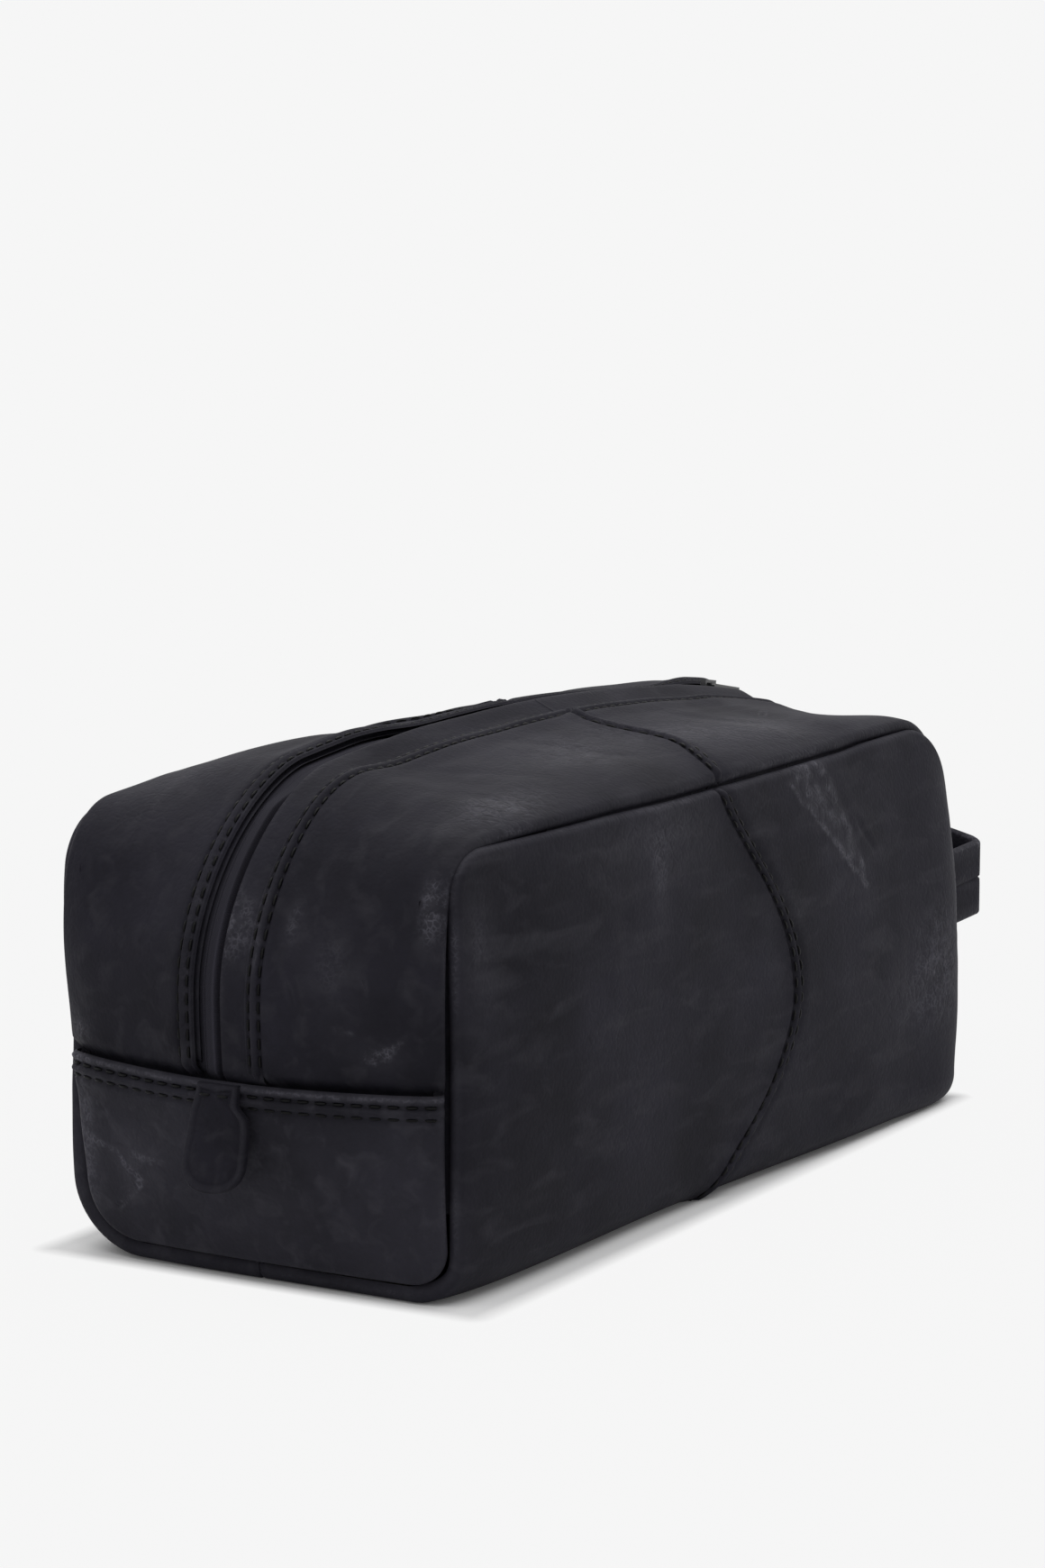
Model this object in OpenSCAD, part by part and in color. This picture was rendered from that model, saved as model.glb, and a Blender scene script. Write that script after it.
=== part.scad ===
// Soft leather shaving kit bag with a zip over the top, a grab tab and a side handle.
// Millimetres. +X runs to the handle end, -Y is the right-hand side, +Z is up.
// The origin lies on the floor, where the base seam crosses the middle of the length.

/* [Body] */
// Length between the end seams
body_l = 250; // [200:1:320]
// Width between the side seams at the ends
body_w = 103.6; // [84:0.1:140]
// Height of the top side seams
seam_h = 105; // [90:0.5:130]
// Height of the lower end panels
panel_h = 49.3; // [36:0.1:56]
// Radius of the side seam's front top corner
seam_r_front = 12; // [10:0.5:24]
// Radius of the side seam's rear top corner
seam_r_rear = 22; // [10:0.5:24]
// Radius of the bottom corners at the front end
base_r_front = 14; // [8:0.5:18]
// Radius of the bottom corners from mid-length to the rear end
base_r_rear = 8; // [7:0.5:18]

/* [Stuffing] */
// How far the ends swell beyond their seams
end_swell = 14.5; // [4:0.5:20]
// How far the sides swell at mid height
side_swell = 2.5; // [0:0.5:8]
// How far the sides swell at the floor
base_swell = 6.5; // [0:0.5:10]
// How far the top side seams bow outwards
seam_bow = 5.5; // [0:0.5:8]
// How far the rear end seams bow outwards
rear_bow = 6.5; // [0:0.5:8]

/* [Leather and lining] */
// Thickness of the leather
leather_t = 1.4; // [0.8:0.1:2]
// Thickness of the foam interlining in the sides
interlining_t = 0.8; // [0.4:0.1:1.2]
// Thickness of the lining cloth
lining_t = 0.5; // [0.3:0.1:0.8]
// Thickness of the base board
board_t = 1; // [0.6:0.1:1.4]
// Gap between neighbouring pieces
gap = 0.2; // [0.1:0.05:0.4]

/* [Zip] */
// Radius of the arch that the zip follows over the top
arch_r = 720; // [500:10:1200]
// Place of the arch's crown along the length
arch_x = -15; // [-30:1:10]
// Height of the zip's crown
arch_h = 121.5; // [118:0.5:140]
// Sideways place of the zip's centre line
zip_y = 5.4; // [0:0.1:8]
// Width of the zip that shows between the leather edges
zip_slot = 5.8; // [5.4:0.1:8]
// Width of one row of coil
coil_w = 2.4; // [1.8:0.1:3]
// Thickness of the coil
coil_t = 1.6; // [1:0.1:2.2]
// Thickness of the zip tape
tape_t = 0.6; // [0.4:0.1:0.8]
// Width of the tape beyond the slot on each side
tape_w = 4.6; // [3:0.1:6]
// Width of the leather band beside the zip
band_w = 7.5; // [5:0.1:12]
// Length of the slider
slider_l = 9; // [7:0.5:11]
// Length of the zip pull
pull_l = 16; // [13:0.5:18]

/* [Mouth] */
// Front end of the part of the top that folds open
mouth_front = 80; // [60:1:84]
// Rear end of the part of the top that folds open
mouth_rear = 94; // [70:1:96]

/* [Handle] */
// Width of the strap
strap_w = 19.2; // [14:0.1:24]
// Height of the strap's centre line
strap_z = 54; // [48:0.1:62]
// How far apart the outer faces of the strap's legs are
strap_span = 97; // [70:0.5:100]
// How far the strap stands out from its seat on the end
strap_out = 30.5; // [28:0.5:44]
// Thickness of each of the strap's two plies
strap_ply = 1.3; // [0.8:0.1:1.8]
// Outer corner radius of the strap's bends
strap_r = 5; // [4:0.5:10]

/* [Tab] */
// Width of the grab tab at its round end
tab_w = 16.7; // [12:0.1:20]
// Width of the grab tab at its stitched head
tab_head_w = 10.6; // [8:0.1:14]
// Length of the grab tab
tab_l = 24.6; // [18:0.1:30]
// Height of the tab's stitched head
tab_head_h = 5.8; // [4:0.1:8]
// Sideways place of the tab's centre line
tab_y = 2; // [-6:0.1:6]
// Thickness of each of the tab's two plies
tab_ply = 1.2; // [0.8:0.1:1.6]

/* [Hidden] */

black_leather = [0.15, 0.15, 0.17];
black_cloth = [0.10, 0.10, 0.12];
black_metal = [0.20, 0.20, 0.22];
grey_board = [0.45, 0.43, 0.40];

half_l = body_l / 2;
half_w = body_w / 2;
rim = leather_t + gap;                        // room that an overlapping edge takes
bow_power = 2.6;                              // how square the seams' bow is
flat_share = 0.12;                            // the flat along the middle, of the half width
shoulder_z = 68;                              // height where the ends swell most
ply_gap = 0.05;                               // between plies that are sewn flat together
slack = 0.35;                                 // between plies that lie loose
interlining_d = leather_t + slack;            // depths below the outer surface
lining_d = interlining_d + interlining_t + slack;
end_lining_d = leather_t + slack + gap;
turned_t = 2 * leather_t - 0.4;               // an edge that is pared and turned in by the zip
tape_d = turned_t + gap;
coil_d = tape_d + tape_t + ply_gap;
top_lining_d = tape_d + tape_t + slack;
lining_set_in = 4.2;                          // top lining's edge, in from the side seam
park = slider_l / 2 + 1;                      // half the room that a parked slider takes
park_gap = 0.5;                               // between a parked slider and the mouth
pull_room = 2;                                // more of it at the rear, beside the slider's pull
front_park = mouth_front + park + park_gap;
rear_park = mouth_rear + park + park_gap + pull_room;
arch_front = front_park + park + park_gap;    // the arch runs on to these places
arch_rear = rear_park + park + 2 * park_gap;
slot_right = zip_y - zip_slot / 2;
slot_left = zip_y + zip_slot / 2;
band_edge = slot_right - band_w;
coil_gap = 1;                                 // open way for the slider's wedge
n_corner = 4;                                 // rows of a side piece round its top corners
n_side = 8;                                   // and on to the foot of its wall
n_arc = 4;                                    // rows round the bottom edge
n_base = 3;                                   // rows across the base
n_row = 10;                                   // rows of a shoulder piece

// --- Outline functions -------------------------------------------------------------

// How much of its bow a seam has at the share a of its half length: 1 in the middle, 0 at its ends
function bow(a) = 1 - pow(min(1, abs(a)), bow_power);

// How full a stuffed surface is at the share a of its half width: 1 along a narrow flat in the
// middle, 0 at its seams, where it rises steeply
function crown(a) =
  let (b = max(0, min(1, abs(a)) - flat_share) / (1 - flat_share))
  1 - 0.85 * pow(b, 1.6) - 0.15 * pow(b, 10);

// How full the sides are at x; the rear is fuller than the front
function fullness(x) =
  let (a = x / half_l)
  (1 + 0.35 * a) * (1 - pow(min(1, abs(a)), x < 0 ? 6 : 14));

// How far the end stands out at height z, as a share of end_swell
function rise(z) = pow(sin(90 * min(1, max(0, z) / shoulder_z)), 0.75);

// How far the side stands out beyond half the width at x and z
function swell(x, z) =
  seam_bow * z / seam_h * bow(x / half_l) +
  (side_swell * sin(180 * min(1, z / seam_h)) + base_swell * (1 - z / seam_h)) * fullness(x);

// Half width of the top at x, at the side seam
function seam_y(x) = half_w + seam_bow * bow(x / half_l);

// How far the end seam stands out at height z; s = -1 is the front end and 1 the rear end
function end_bow(s, z) =
  s < 0 ? 0 : rear_bow * sin(180 * pow(min(1, max(0, z) / seam_h), 0.6));

function seam_r(s) = s < 0 ? seam_r_front : seam_r_rear;
function base_r(s) = s < 0 ? base_r_front : base_r_rear;

// Radius of the long bottom edges at x
function base_round(x) =
  base_r_rear + (x < 0 ? (base_r_front - base_r_rear) * pow(-x / half_l, 6) : 0);

// Height of the zip line over the top at x
function arch(x) = arch_h - arch_r + sqrt(arch_r * arch_r - (x - arch_x) * (x - arch_x));

// Inward normal [x, z] of the zip line over the top at x
function arch_in(x) = [arch_x - x, arch_h - arch_r - arch(x)] / arch_r;

// Place along the length of the curved joining seam on the side, at height z
wave_x = -7;
wave_out = 37;
function wave(z) = wave_x + wave_out * pow(sin(180 * pow(min(1, z / seam_h), 0.88)), 1.3);
top_wave_x = 0;

// Point k of the side's profile, at depth d below its outer surface: [half width, height].
// It runs from the top down past the corner, down the wall, round the bottom edge and under.
function profile(k, d, top, r) =
  let (corner = max(seam_r_front, seam_r_rear))
  k <= n_corner ? [half_w - d, top - corner * (1 - cos(90 * k / n_corner))] :
  k <= n_side ?
    [half_w - d, top - corner + (r - top + corner) * (k - n_corner) / (n_side - n_corner)] :
  k <= n_side + n_arc ?
    let (a = 90 * (k - n_side) / n_arc)
    [half_w - r + (r - d) * cos(a), r - (r - d) * sin(a)] :
  [gap / 2 + (half_w - r - gap / 2) * (1 - (k - n_side - n_arc) / n_base), d];

// Half length of a side piece at height z, whose ends and top are held in by inset
function reach(s, z, top, inset) =
  let (r = seam_r(s) - inset)
  half_l - inset + end_bow(s, z) -
  (z > top - r ? r - sqrt(max(0, r * r - pow(z - top + r, 2))) : 0);

// Places of a side piece's columns, 0 to 1, closer together towards an end
function column(t, from, to) =
  from == to ? (1 - cos(180 * t)) / 2 : to == "end" ? sin(90 * t) : 1 - cos(90 * t);

// Points of one surface of a side piece: it runs from an end or the curved seam to another.
// Under the base the swell fades towards the centre seam, which stays straight.
function side_grid(d, top, inset, from, to, columns, last = n_side + n_arc + n_base) = [
  for (k = [0:last])
    let (z = profile(k, 0, top, base_r_rear)[1], w = wave(z))
    let (x0 = from == "end" ? -reach(-1, z, top, inset) : w + gap / 2)
    let (x1 = to == "end" ? reach(1, z, top, inset) : w - gap / 2)
    [for (i = [0:columns])
      let (x = x0 + (x1 - x0) * column(i / columns, from, to), r = base_round(x))
      let (p = profile(k, d, top, r), outer = profile(k, 0, top, r))
      let (hold = 1 - max(0, k - n_side - n_arc) / n_base)
      [x, -(p[0] + swell(x, outer[1]) * hold), p[1]]]
];

// Points of one surface of an end panel, held in by inset at its sides and low at its foot
function end_grid(s, d, inset, low, top) = [
  for (k = [0:n_arc + n_side])
    let (r0 = base_r(s), r = r0 - inset, a = 90 * k / n_arc)
    let (z = k <= n_arc ? r0 - r * cos(a) : r0 + (top - r0) * (k - n_arc) / n_side)
    let (w = k <= n_arc ? half_w - r0 + r * sin(a) : half_w - inset)
    let (seam = half_l + end_bow(s, z), middle = half_l + end_swell * rise(z))
    [for (j = [-6:6])
      [s * (seam + (middle - seam) * crown(w * j / 6 / half_w) - d), w * j / 6, max(low, z)]]
];

// Point i of the side seam's path round the end's shoulder: [x, z, inward x, inward z]
function seam_path(s, i, cut) =
  let (r = seam_r(s), low = panel_h + gap, z = low + (seam_h - r - low) * i / 4)
  i <= 4 ? [half_l + end_bow(s, z), z, -1, 0] :
  i <= 8 ?
    let (a = 90 * (i - 4) / 4, h = seam_h - r + r * sin(a))
    [half_l + end_bow(s, h) - r + r * cos(a), h, -cos(a), -sin(a)] :
  [half_l - r + (cut - half_l + r) * (i - 8) / 2, seam_h, 0, -1];

// Point on a cubic curve, and its direction
function cubic(a, b, c, d, t) =
  pow(1 - t, 3) * a + 3 * pow(1 - t, 2) * t * b + 3 * (1 - t) * t * t * c + pow(t, 3) * d;
function cubic_way(a, b, c, d, t) =
  pow(1 - t, 2) * (b - a) + 2 * (1 - t) * t * (c - b) + t * t * (d - c);

// Point i of the zip's path round the shoulder, for s = -1 front or 1 rear, x counted outwards
function zip_path(i, s, cut, arch_end) =
  let (a = [half_l + end_swell, shoulder_z], d = [arch_end, arch(s * arch_end)])
  let (n = arch_in(s * arch_end), way = [-n[1], s * n[0]])
  let (b = [a[0], a[1] + (d[1] - a[1]) / 2], c = d + 0.46 * (a[0] - d[0]) * way)
  i <= 3 ?
    let (z = panel_h + gap + (shoulder_z - panel_h - gap) * i / 3)
    [half_l + end_swell * rise(z), z, -1, 0] :
  i <= 9 ?
    let (t = (i - 3) / 6, p = cubic(a, b, c, d, t), v = cubic_way(a, b, c, d, t))
    [p[0], p[1], -v[1] / norm(v), v[0] / norm(v)] :
  let (m = arch_in(s * cut)) [cut, arch(s * cut), s * m[0], m[1]];

// Points of one surface of a shoulder piece between sideways places y0 and y1. An end of
// "seam" follows the side seam, held in by inset. The depth is e at the edge by the zip.
function shoulder_grid(s, d, e, y0, y1, columns, flat, inset) =
  let (cut = (s < 0 ? mouth_front : mouth_rear) + gap, far = s < 0 ? arch_front : arch_rear)
  [for (i = [0:n_row])
    let (p = seam_path(s, i, cut), q = zip_path(i, s, cut, far), w = seam_y(p[0]))
    let (a = y0 == "seam" ? inset - w : y0, b = y1 == "seam" ? w - inset : y1)
    [for (j = [0:columns])
      let (y = a + (b - a) * j / columns, f = flat ? 1 : crown(y / w))
      let (m = p + (q - p) * f, lean = flat || i < n_row ? [m[2], m[3]] : [0, -1])
      let (n = lean / norm(lean))
      let (g = (j == 0 && y0 != "seam") || (j == columns && y1 != "seam") ? e : d)
      [s * (m[0] + n[0] * g), y, m[1] + n[1] * g]]];

// Points of one surface of the top between the shoulders
function top_grid(x0, x1, d, e, y0, y1, rows, columns, flat, inset) = [
  for (i = [0:rows])
    let (x = x0 + (x1 - x0) * i / rows, w = seam_y(x), n = arch_in(x))
    let (a = y0 == "seam" ? inset - w : y0, b = y1 == "seam" ? w - inset : y1)
    [for (j = [0:columns])
      let (y = a + (b - a) * j / columns, f = flat ? 1 : crown(y / w))
      let (g = (j == 0 && y0 != "seam") || (j == columns && y1 != "seam") ? e : d)
      flat ? [x + n[0] * g, y, arch(x) + n[1] * g] :
        [x, y, seam_h + (arch(x) - seam_h) * f - g]]
];

// --- Shared shapes -------------------------------------------------------------------

// A closed sheet between two grids of points; turned swaps which side faces outwards
module sheet(outer, inner, turned = false) {
  rows = len(outer);
  cols = len(outer[0]);
  n = rows * cols;
  points = concat([for (r = outer) each r], [for (r = inner) each r]);
  quads = concat(
    [for (i = [0:rows - 2], j = [0:cols - 2])
      let (a = i * cols + j) [a, a + 1, a + cols + 1, a + cols]],
    [for (i = [0:rows - 2], j = [0:cols - 2])
      let (a = n + i * cols + j) [a, a + cols, a + cols + 1, a + 1]],
    [for (j = [0:cols - 2]) [n + j, n + j + 1, j + 1, j]],
    [for (j = [0:cols - 2]) let (a = (rows - 1) * cols + j) [a, a + 1, n + a + 1, n + a]],
    [for (i = [0:rows - 2]) let (a = i * cols) [a, a + cols, n + a + cols, n + a]],
    [for (i = [0:rows - 2])
      let (a = i * cols + cols - 1) [n + a, n + a + cols, a + cols, a]]
  );
  faces = [for (q = quads) each [[q[0], q[1], q[2]], [q[0], q[2], q[3]]]];
  polyhedron(points, turned ? [for (f = faces) [f[2], f[1], f[0]]] : faces);
}

// A side piece in leather, interlining or lining
module side_sheet(d, t, top, inset, from, to, columns, last = n_side + n_arc + n_base) {
  sheet(
    side_grid(d, top, inset, from, to, columns, last),
    side_grid(d + t, top, inset, from, to, columns, last)
  );
}

// A shoulder piece, t thick and turned thick at an edge by the zip
module shoulder_sheet(s, d, t, y0, y1, columns, flat = false, inset = 0, turned = 0) {
  sheet(
    shoulder_grid(s, d, d, y0, y1, columns, flat, inset),
    shoulder_grid(s, d + t, d + max(t, turned), y0, y1, columns, flat, inset),
    s > 0
  );
}

// A piece of the top, t thick and turned thick at an edge by the zip
module top_sheet(x0, x1, d, t, y0, y1, rows, columns, flat = false, inset = 0, turned = 0) {
  sheet(
    top_grid(x0, x1, d, d, y0, y1, rows, columns, flat, inset),
    top_grid(x0, x1, d + t, d + max(t, turned), y0, y1, rows, columns, flat, inset)
  );
}

// --- Leather body ----------------------------------------------------------------------

module side_piece(from, to) {
  side_sheet(0, leather_t, seam_h - rim, rim, from, to, 8);
}

module side_right_front() { color(black_leather) side_piece("end", "wave"); }

module side_right_rear() { color(black_leather) side_piece("wave", "end"); }

module side_left_front() { color(black_leather) mirror([0, 1, 0]) side_piece("end", "wave"); }

module side_left_rear() { color(black_leather) mirror([0, 1, 0]) side_piece("wave", "end"); }

module end_sheet(s, d, t, inset, low, top) {
  sheet(end_grid(s, d, inset, low, top), end_grid(s, d + t, inset, low, top), s < 0);
}

module end_panel_front() { color(black_leather) end_sheet(-1, 0, leather_t, 0, 0, panel_h); }

module end_panel_rear() { color(black_leather) end_sheet(1, 0, leather_t, 0, 0, panel_h); }

module shoulder_right_front() {
  color(black_leather) shoulder_sheet(-1, 0, leather_t, "seam", band_edge - gap, 7);
}

module shoulder_right_rear() {
  color(black_leather) shoulder_sheet(1, 0, leather_t, "seam", band_edge - gap, 7);
}

module shoulder_left_front() {
  color(black_leather)
    shoulder_sheet(-1, 0, leather_t, slot_left, "seam", 7, turned = turned_t);
}

module shoulder_left_rear() {
  color(black_leather)
    shoulder_sheet(1, 0, leather_t, slot_left, "seam", 7, turned = turned_t);
}

module mouth_right_piece(x0, x1) {
  color(black_leather) top_sheet(x0, x1, 0, leather_t, "seam", band_edge - gap, 6, 7);
}

module mouth_left_piece(x0, x1) {
  color(black_leather)
    top_sheet(x0, x1, 0, leather_t, slot_left, "seam", 6, 7, turned = turned_t);
}

module mouth_right_front() { mouth_right_piece(-mouth_front, top_wave_x - gap / 2); }

module mouth_right_rear() { mouth_right_piece(top_wave_x + gap / 2, mouth_rear); }

module mouth_left_front() { mouth_left_piece(-mouth_front, top_wave_x - gap / 2); }

module mouth_left_rear() { mouth_left_piece(top_wave_x + gap / 2, mouth_rear); }

// --- Zip ---------------------------------------------------------------------------------

module zip_band_front() {
  color(black_leather) shoulder_sheet(-1, 0, turned_t, band_edge, slot_right, 2, true);
}

module zip_band_rear() {
  color(black_leather) shoulder_sheet(1, 0, turned_t, band_edge, slot_right, 2, true);
}

module zip_band_mouth() {
  color(black_leather)
    top_sheet(-mouth_front, mouth_rear, 0, turned_t, band_edge, slot_right, 12, 2, true);
}

module tape_end(s) {
  shoulder_sheet(s, tape_d, tape_t, band_edge - tape_w, zip_y - coil_gap / 2, 2, true);
  shoulder_sheet(s, tape_d, tape_t, zip_y + coil_gap / 2, slot_left + tape_w, 2, true);
}

module coil_end(s) {
  for (side = [-1, 1]) {
    near = zip_y + side * coil_gap / 2;
    far = near + side * coil_w;
    shoulder_sheet(s, coil_d, coil_t, min(near, far), max(near, far), 1, true);
  }
}

module top_strip(d, t, y0, y1) {
  top_sheet(-mouth_front, mouth_rear, d, t, y0, y1, 14, 1, true);
}

module zip_tape_front() { color(black_cloth) tape_end(-1); }

module zip_tape_rear() { color(black_cloth) tape_end(1); }

module zip_tape_right() {
  color(black_cloth) top_strip(tape_d, tape_t, band_edge - tape_w, zip_y - coil_gap / 2);
}

module zip_tape_left() {
  color(black_cloth) top_strip(tape_d, tape_t, zip_y + coil_gap / 2, slot_left + tape_w);
}

module zip_coil_front() { color(black_cloth) coil_end(-1); }

module zip_coil_rear() { color(black_cloth) coil_end(1); }

module zip_coil_right() {
  near = zip_y - coil_gap / 2;
  color(black_cloth) top_strip(coil_d, coil_t, near - coil_w, near);
}

module zip_coil_left() {
  near = zip_y + coil_gap / 2;
  color(black_cloth) top_strip(coil_d, coil_t, near, near + coil_w);
}

// A stop clamped over both coils at the foot of the zip
stop_l = 3;
stop_t = 0.8;
module zip_stop() {
  w = coil_gap + 2 * coil_w;
  z = panel_h + 2 * gap;
  x = half_l + end_swell * rise(z) - coil_d - coil_t - gap - stop_t;
  translate([x, zip_y - w / 2, z]) cube([stop_t, w, stop_l]);
}

module zip_stop_front() { color(black_metal) mirror([1, 0, 0]) zip_stop(); }

module zip_stop_rear() { color(black_metal) zip_stop(); }

// Places its children on the arch at x, with the zip's surface at height 0
module on_arch(x) {
  translate([arch_x, zip_y, arch_h - arch_r])
    rotate([0, asin((x - arch_x) / arch_r), 0])
      translate([0, 0, arch_r])
        children();
}

slider_clear = 0.3;                            // slider to tape and coil
slider_plate = 1.1;
plate_w = zip_slot - 0.8;
keel_w = coil_gap + 2 * coil_w + 2.2;
keel_d = coil_d + coil_t + slider_clear;
bridge_l = 6;
bridge_h = 2.1;
bridge_w = 1.6;
bridge_t = 0.8;
bar_r = 0.5;
slider_top = slider_clear + slider_plate - tape_d;   // height of the upper plate's top
bar_z = slider_top + bar_r + 0.15;

module slider_plate_shape(w, t) {
  linear_extrude(t) {
    translate([-slider_l / 2 + w / 2, -w / 2]) square([slider_l - w, w]);
    for (s = [-1, 1]) translate([s * (slider_l - w) / 2, 0]) circle(w / 2, $fn = 48);
  }
}

module slider_bridge() {
  translate([0, bridge_w / 2, 0]) rotate([90, 0, 0])
    linear_extrude(bridge_w)
      difference() {
        translate([-bridge_l / 2, -0.1]) square([bridge_l, bridge_h + 0.1]);
        translate([-bridge_l / 2 + bridge_t, -0.2])
          square([bridge_l - 2 * bridge_t, bridge_h - bridge_t + 0.2]);
      }
}

module slider_body() {
  wedge_w = coil_gap - 2 * slider_clear;
  wedge_l = 3.6;
  lip_t = 0.6;
  lip_h = keel_d - tape_d - tape_t - slider_clear;
  translate([0, 0, slider_top - slider_plate]) slider_plate_shape(plate_w, slider_plate);
  translate([0, 0, -keel_d - slider_plate]) slider_plate_shape(keel_w, slider_plate);
  translate([slider_l / 2 - wedge_l - 1.5, -wedge_w / 2, -keel_d - 0.1])
    cube([wedge_l, wedge_w, keel_d + slider_top - slider_plate + 0.2]);
  for (s = [-1, 1])
    translate([-slider_l / 2 + keel_w / 2, s * (keel_w - lip_t) / 2 - lip_t / 2, -keel_d - 0.1])
      cube([slider_l - keel_w, lip_t, lip_h + 0.1]);
  translate([0, 0, slider_top]) slider_bridge();
}

module zip_slider() { color(black_metal) on_arch(rear_park) slider_body(); }

pull_t = 1;
pull_w = 4.4;
module pull_shape() {
  arm_in = bridge_w / 2 + 0.3;
  arm_x = 4.6;
  rotate([90, 0, 0]) cylinder(r = bar_r, h = pull_w, center = true, $fn = 32);
  translate([0, 0, -pull_t / 2])
    linear_extrude(pull_t) {
      for (s = [-1, 1])
        translate([0, s * (arm_in + pull_w / 2) / 2 - (pull_w / 2 - arm_in) / 2])
          square([arm_x + 0.5, pull_w / 2 - arm_in]);
      difference() {
        union() {
          translate([arm_x, -pull_w / 2]) square([pull_l - arm_x - pull_w / 2, pull_w]);
          translate([pull_l - pull_w / 2, 0]) circle(pull_w / 2, $fn = 48);
        }
        translate([pull_l - pull_w / 2, 0]) circle(1, $fn = 32);
      }
    }
}

pull_droop = 1.5;                               // its slope, a little steeper than the slider
module zip_pull() {
  color(black_metal) on_arch(rear_park) translate([0, 0, bar_z])
    rotate([0, pull_droop, 0]) pull_shape();
}

// --- Grab tab ----------------------------------------------------------------------------

tab_x = half_l + end_swell * rise(panel_h) + slack;

// The whole tab, t thick, seen from the front: y across, z up, its head's top edge at z = 0.
// Its sides run from the head to the round end, which they just touch.
module tab_blank(t) {
  r = tab_w / 2;
  inner = r - 0.02;                             // where the sides cross the round end
  drop = tab_l - r;
  a = atan2(drop, tab_head_w / 2) - acos(inner / norm([tab_head_w / 2, drop]));
  translate([0, -drop, 0]) cylinder(r = r, h = t, $fn = 96);
  linear_extrude(t) polygon([
    [-tab_head_w / 2, 0],
    [tab_head_w / 2, 0],
    [inner * cos(a), inner * sin(a) - drop],
    [-inner * cos(a), inner * sin(a) - drop]
  ]);
}

// The stretch of the tab from height z0 to z1, t thick, its inner face x away from mid-length
module tab_slice(x, t, z0, z1) {
  translate([-x, tab_y, panel_h]) rotate([90, 0, -90])
    intersection() {
      tab_blank(t);
      translate([-tab_w, z0, -1]) cube([2 * tab_w, z1 - z0, t + 2]);
    }
}

module grab_tab_head() {
  color(black_leather) tab_slice(tab_x, 2 * tab_ply + ply_gap, -tab_head_h + gap / 2, 0);
}

module grab_tab_face() {
  color(black_leather)
    tab_slice(tab_x + tab_ply + ply_gap, tab_ply, -tab_l, -tab_head_h - gap / 2);
}

module grab_tab_back() {
  color(black_leather) tab_slice(tab_x, tab_ply, -tab_l, -tab_head_h - gap / 2);
}

// --- Handle --------------------------------------------------------------------------------

strap_t = 2 * strap_ply + ply_gap;
strap_y = strap_span / 2;
strap_low = strap_z - strap_w / 2;
// The legs stand on the end's surface at their inner faces, a little clear of its fullest place
strap_x =
  let (seam = half_l + end_bow(1, strap_low), middle = half_l + end_swell)
  slack + seam + (middle - seam) * crown((strap_y - strap_t) / half_w);
strap_r_end = strap_w / 2 - ply_gap;            // round ends of the swinging legs
strap_seat = 1;                                 // sewn end's thickness behind the round ends
strap_axis = strap_x + strap_seat + gap + strap_w / 2;
strap_swing = 40;                               // how far the loop swings up and down
// The sewn ends' tips stop short of the loop's edges at full swing
strap_tip = (strap_w / 2 + gap) * sin(strap_swing - acos(strap_w / (strap_w + 2 * gap))) + gap;

// A square-ended U seen from above, its round corners outwards
module strap_outline(inset) {
  r = strap_r - inset;
  x = strap_x + strap_out - inset;
  y = strap_y - inset;
  translate([strap_x - 1, -y]) square([x - r - strap_x + 1, 2 * y]);
  translate([strap_x, r - y]) square([x - strap_x, 2 * (y - r)]);
  for (s = [-1, 1]) translate([x - r, s * (y - r)]) circle(r, $fn = 64);
}

module strap_round(r) {
  translate([strap_axis, 0, strap_z]) rotate([90, 0, 0])
    cylinder(r = r, h = 2 * strap_span, center = true, $fn = 96);
}

// One ply of the swinging loop: flat from the swing axis outwards, with round leg ends
module strap_layer(inset, t) {
  intersection() {
    translate([0, 0, strap_low]) linear_extrude(strap_w)
      difference() {
        strap_outline(inset);
        strap_outline(inset + t);
      }
    union() {
      strap_round(strap_r_end);
      translate([strap_axis, -strap_span, strap_low - 1])
        cube([2 * strap_out, 2 * strap_span, strap_w + 2]);
    }
  }
}

// The two sewn ends, hollowed so that the round leg ends turn in them
module handle_ends() {
  color(black_leather) for (s = [-1, 1])
    difference() {
      translate([strap_x, s * (strap_y - strap_t / 2) - strap_t / 2, strap_low])
        cube([strap_axis - strap_tip - strap_x, strap_t, strap_w]);
      strap_round(strap_w / 2 + gap);
    }
}

module handle_face() { color(black_leather) strap_layer(0, strap_ply); }

module handle_backing() { color(black_leather) strap_layer(strap_ply + ply_gap, strap_ply); }

// --- Interlining and lining ---------------------------------------------------------------

lining_top = seam_h - 4.5;                     // where the side lining meets the top lining
lining_rim = rim + slack;

// A ply behind a side leather, down to the given row of the side's profile
function ply_grid(d, last) = side_grid(d, lining_top, lining_rim, "end", "end", 12, last);

// The interlining stops one column short of the lining at both ends
function skived(grid) = [for (row = grid) [for (i = [1:len(row) - 2]) row[i]]];

module interlining() {
  d = interlining_d;
  sheet(skived(ply_grid(d, n_side)), skived(ply_grid(d + interlining_t, n_side)));
}

module interlining_right() { color(grey_board) interlining(); }

module interlining_left() { color(grey_board) mirror([0, 1, 0]) interlining(); }

module base_board() {
  r = 8;
  l = half_l - 6 - r;
  w = half_w - max(base_r_front, base_r_rear) - r;
  color(grey_board) translate([0, 0, leather_t + gap]) linear_extrude(board_t) {
    translate([-l, -w - r]) square([2 * l, 2 * (w + r)]);
    translate([-l - r, -w]) square([2 * (l + r), 2 * w]);
    for (s = [-1, 1], t = [-1, 1]) translate([s * l, t * w]) circle(r, $fn = 48);
  }
}

module lining_side() {
  last = n_side + n_arc + n_base;
  sheet(ply_grid(lining_d, last), ply_grid(lining_d + lining_t, last));
}

module lining_right() { color(black_cloth) lining_side(); }

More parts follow.
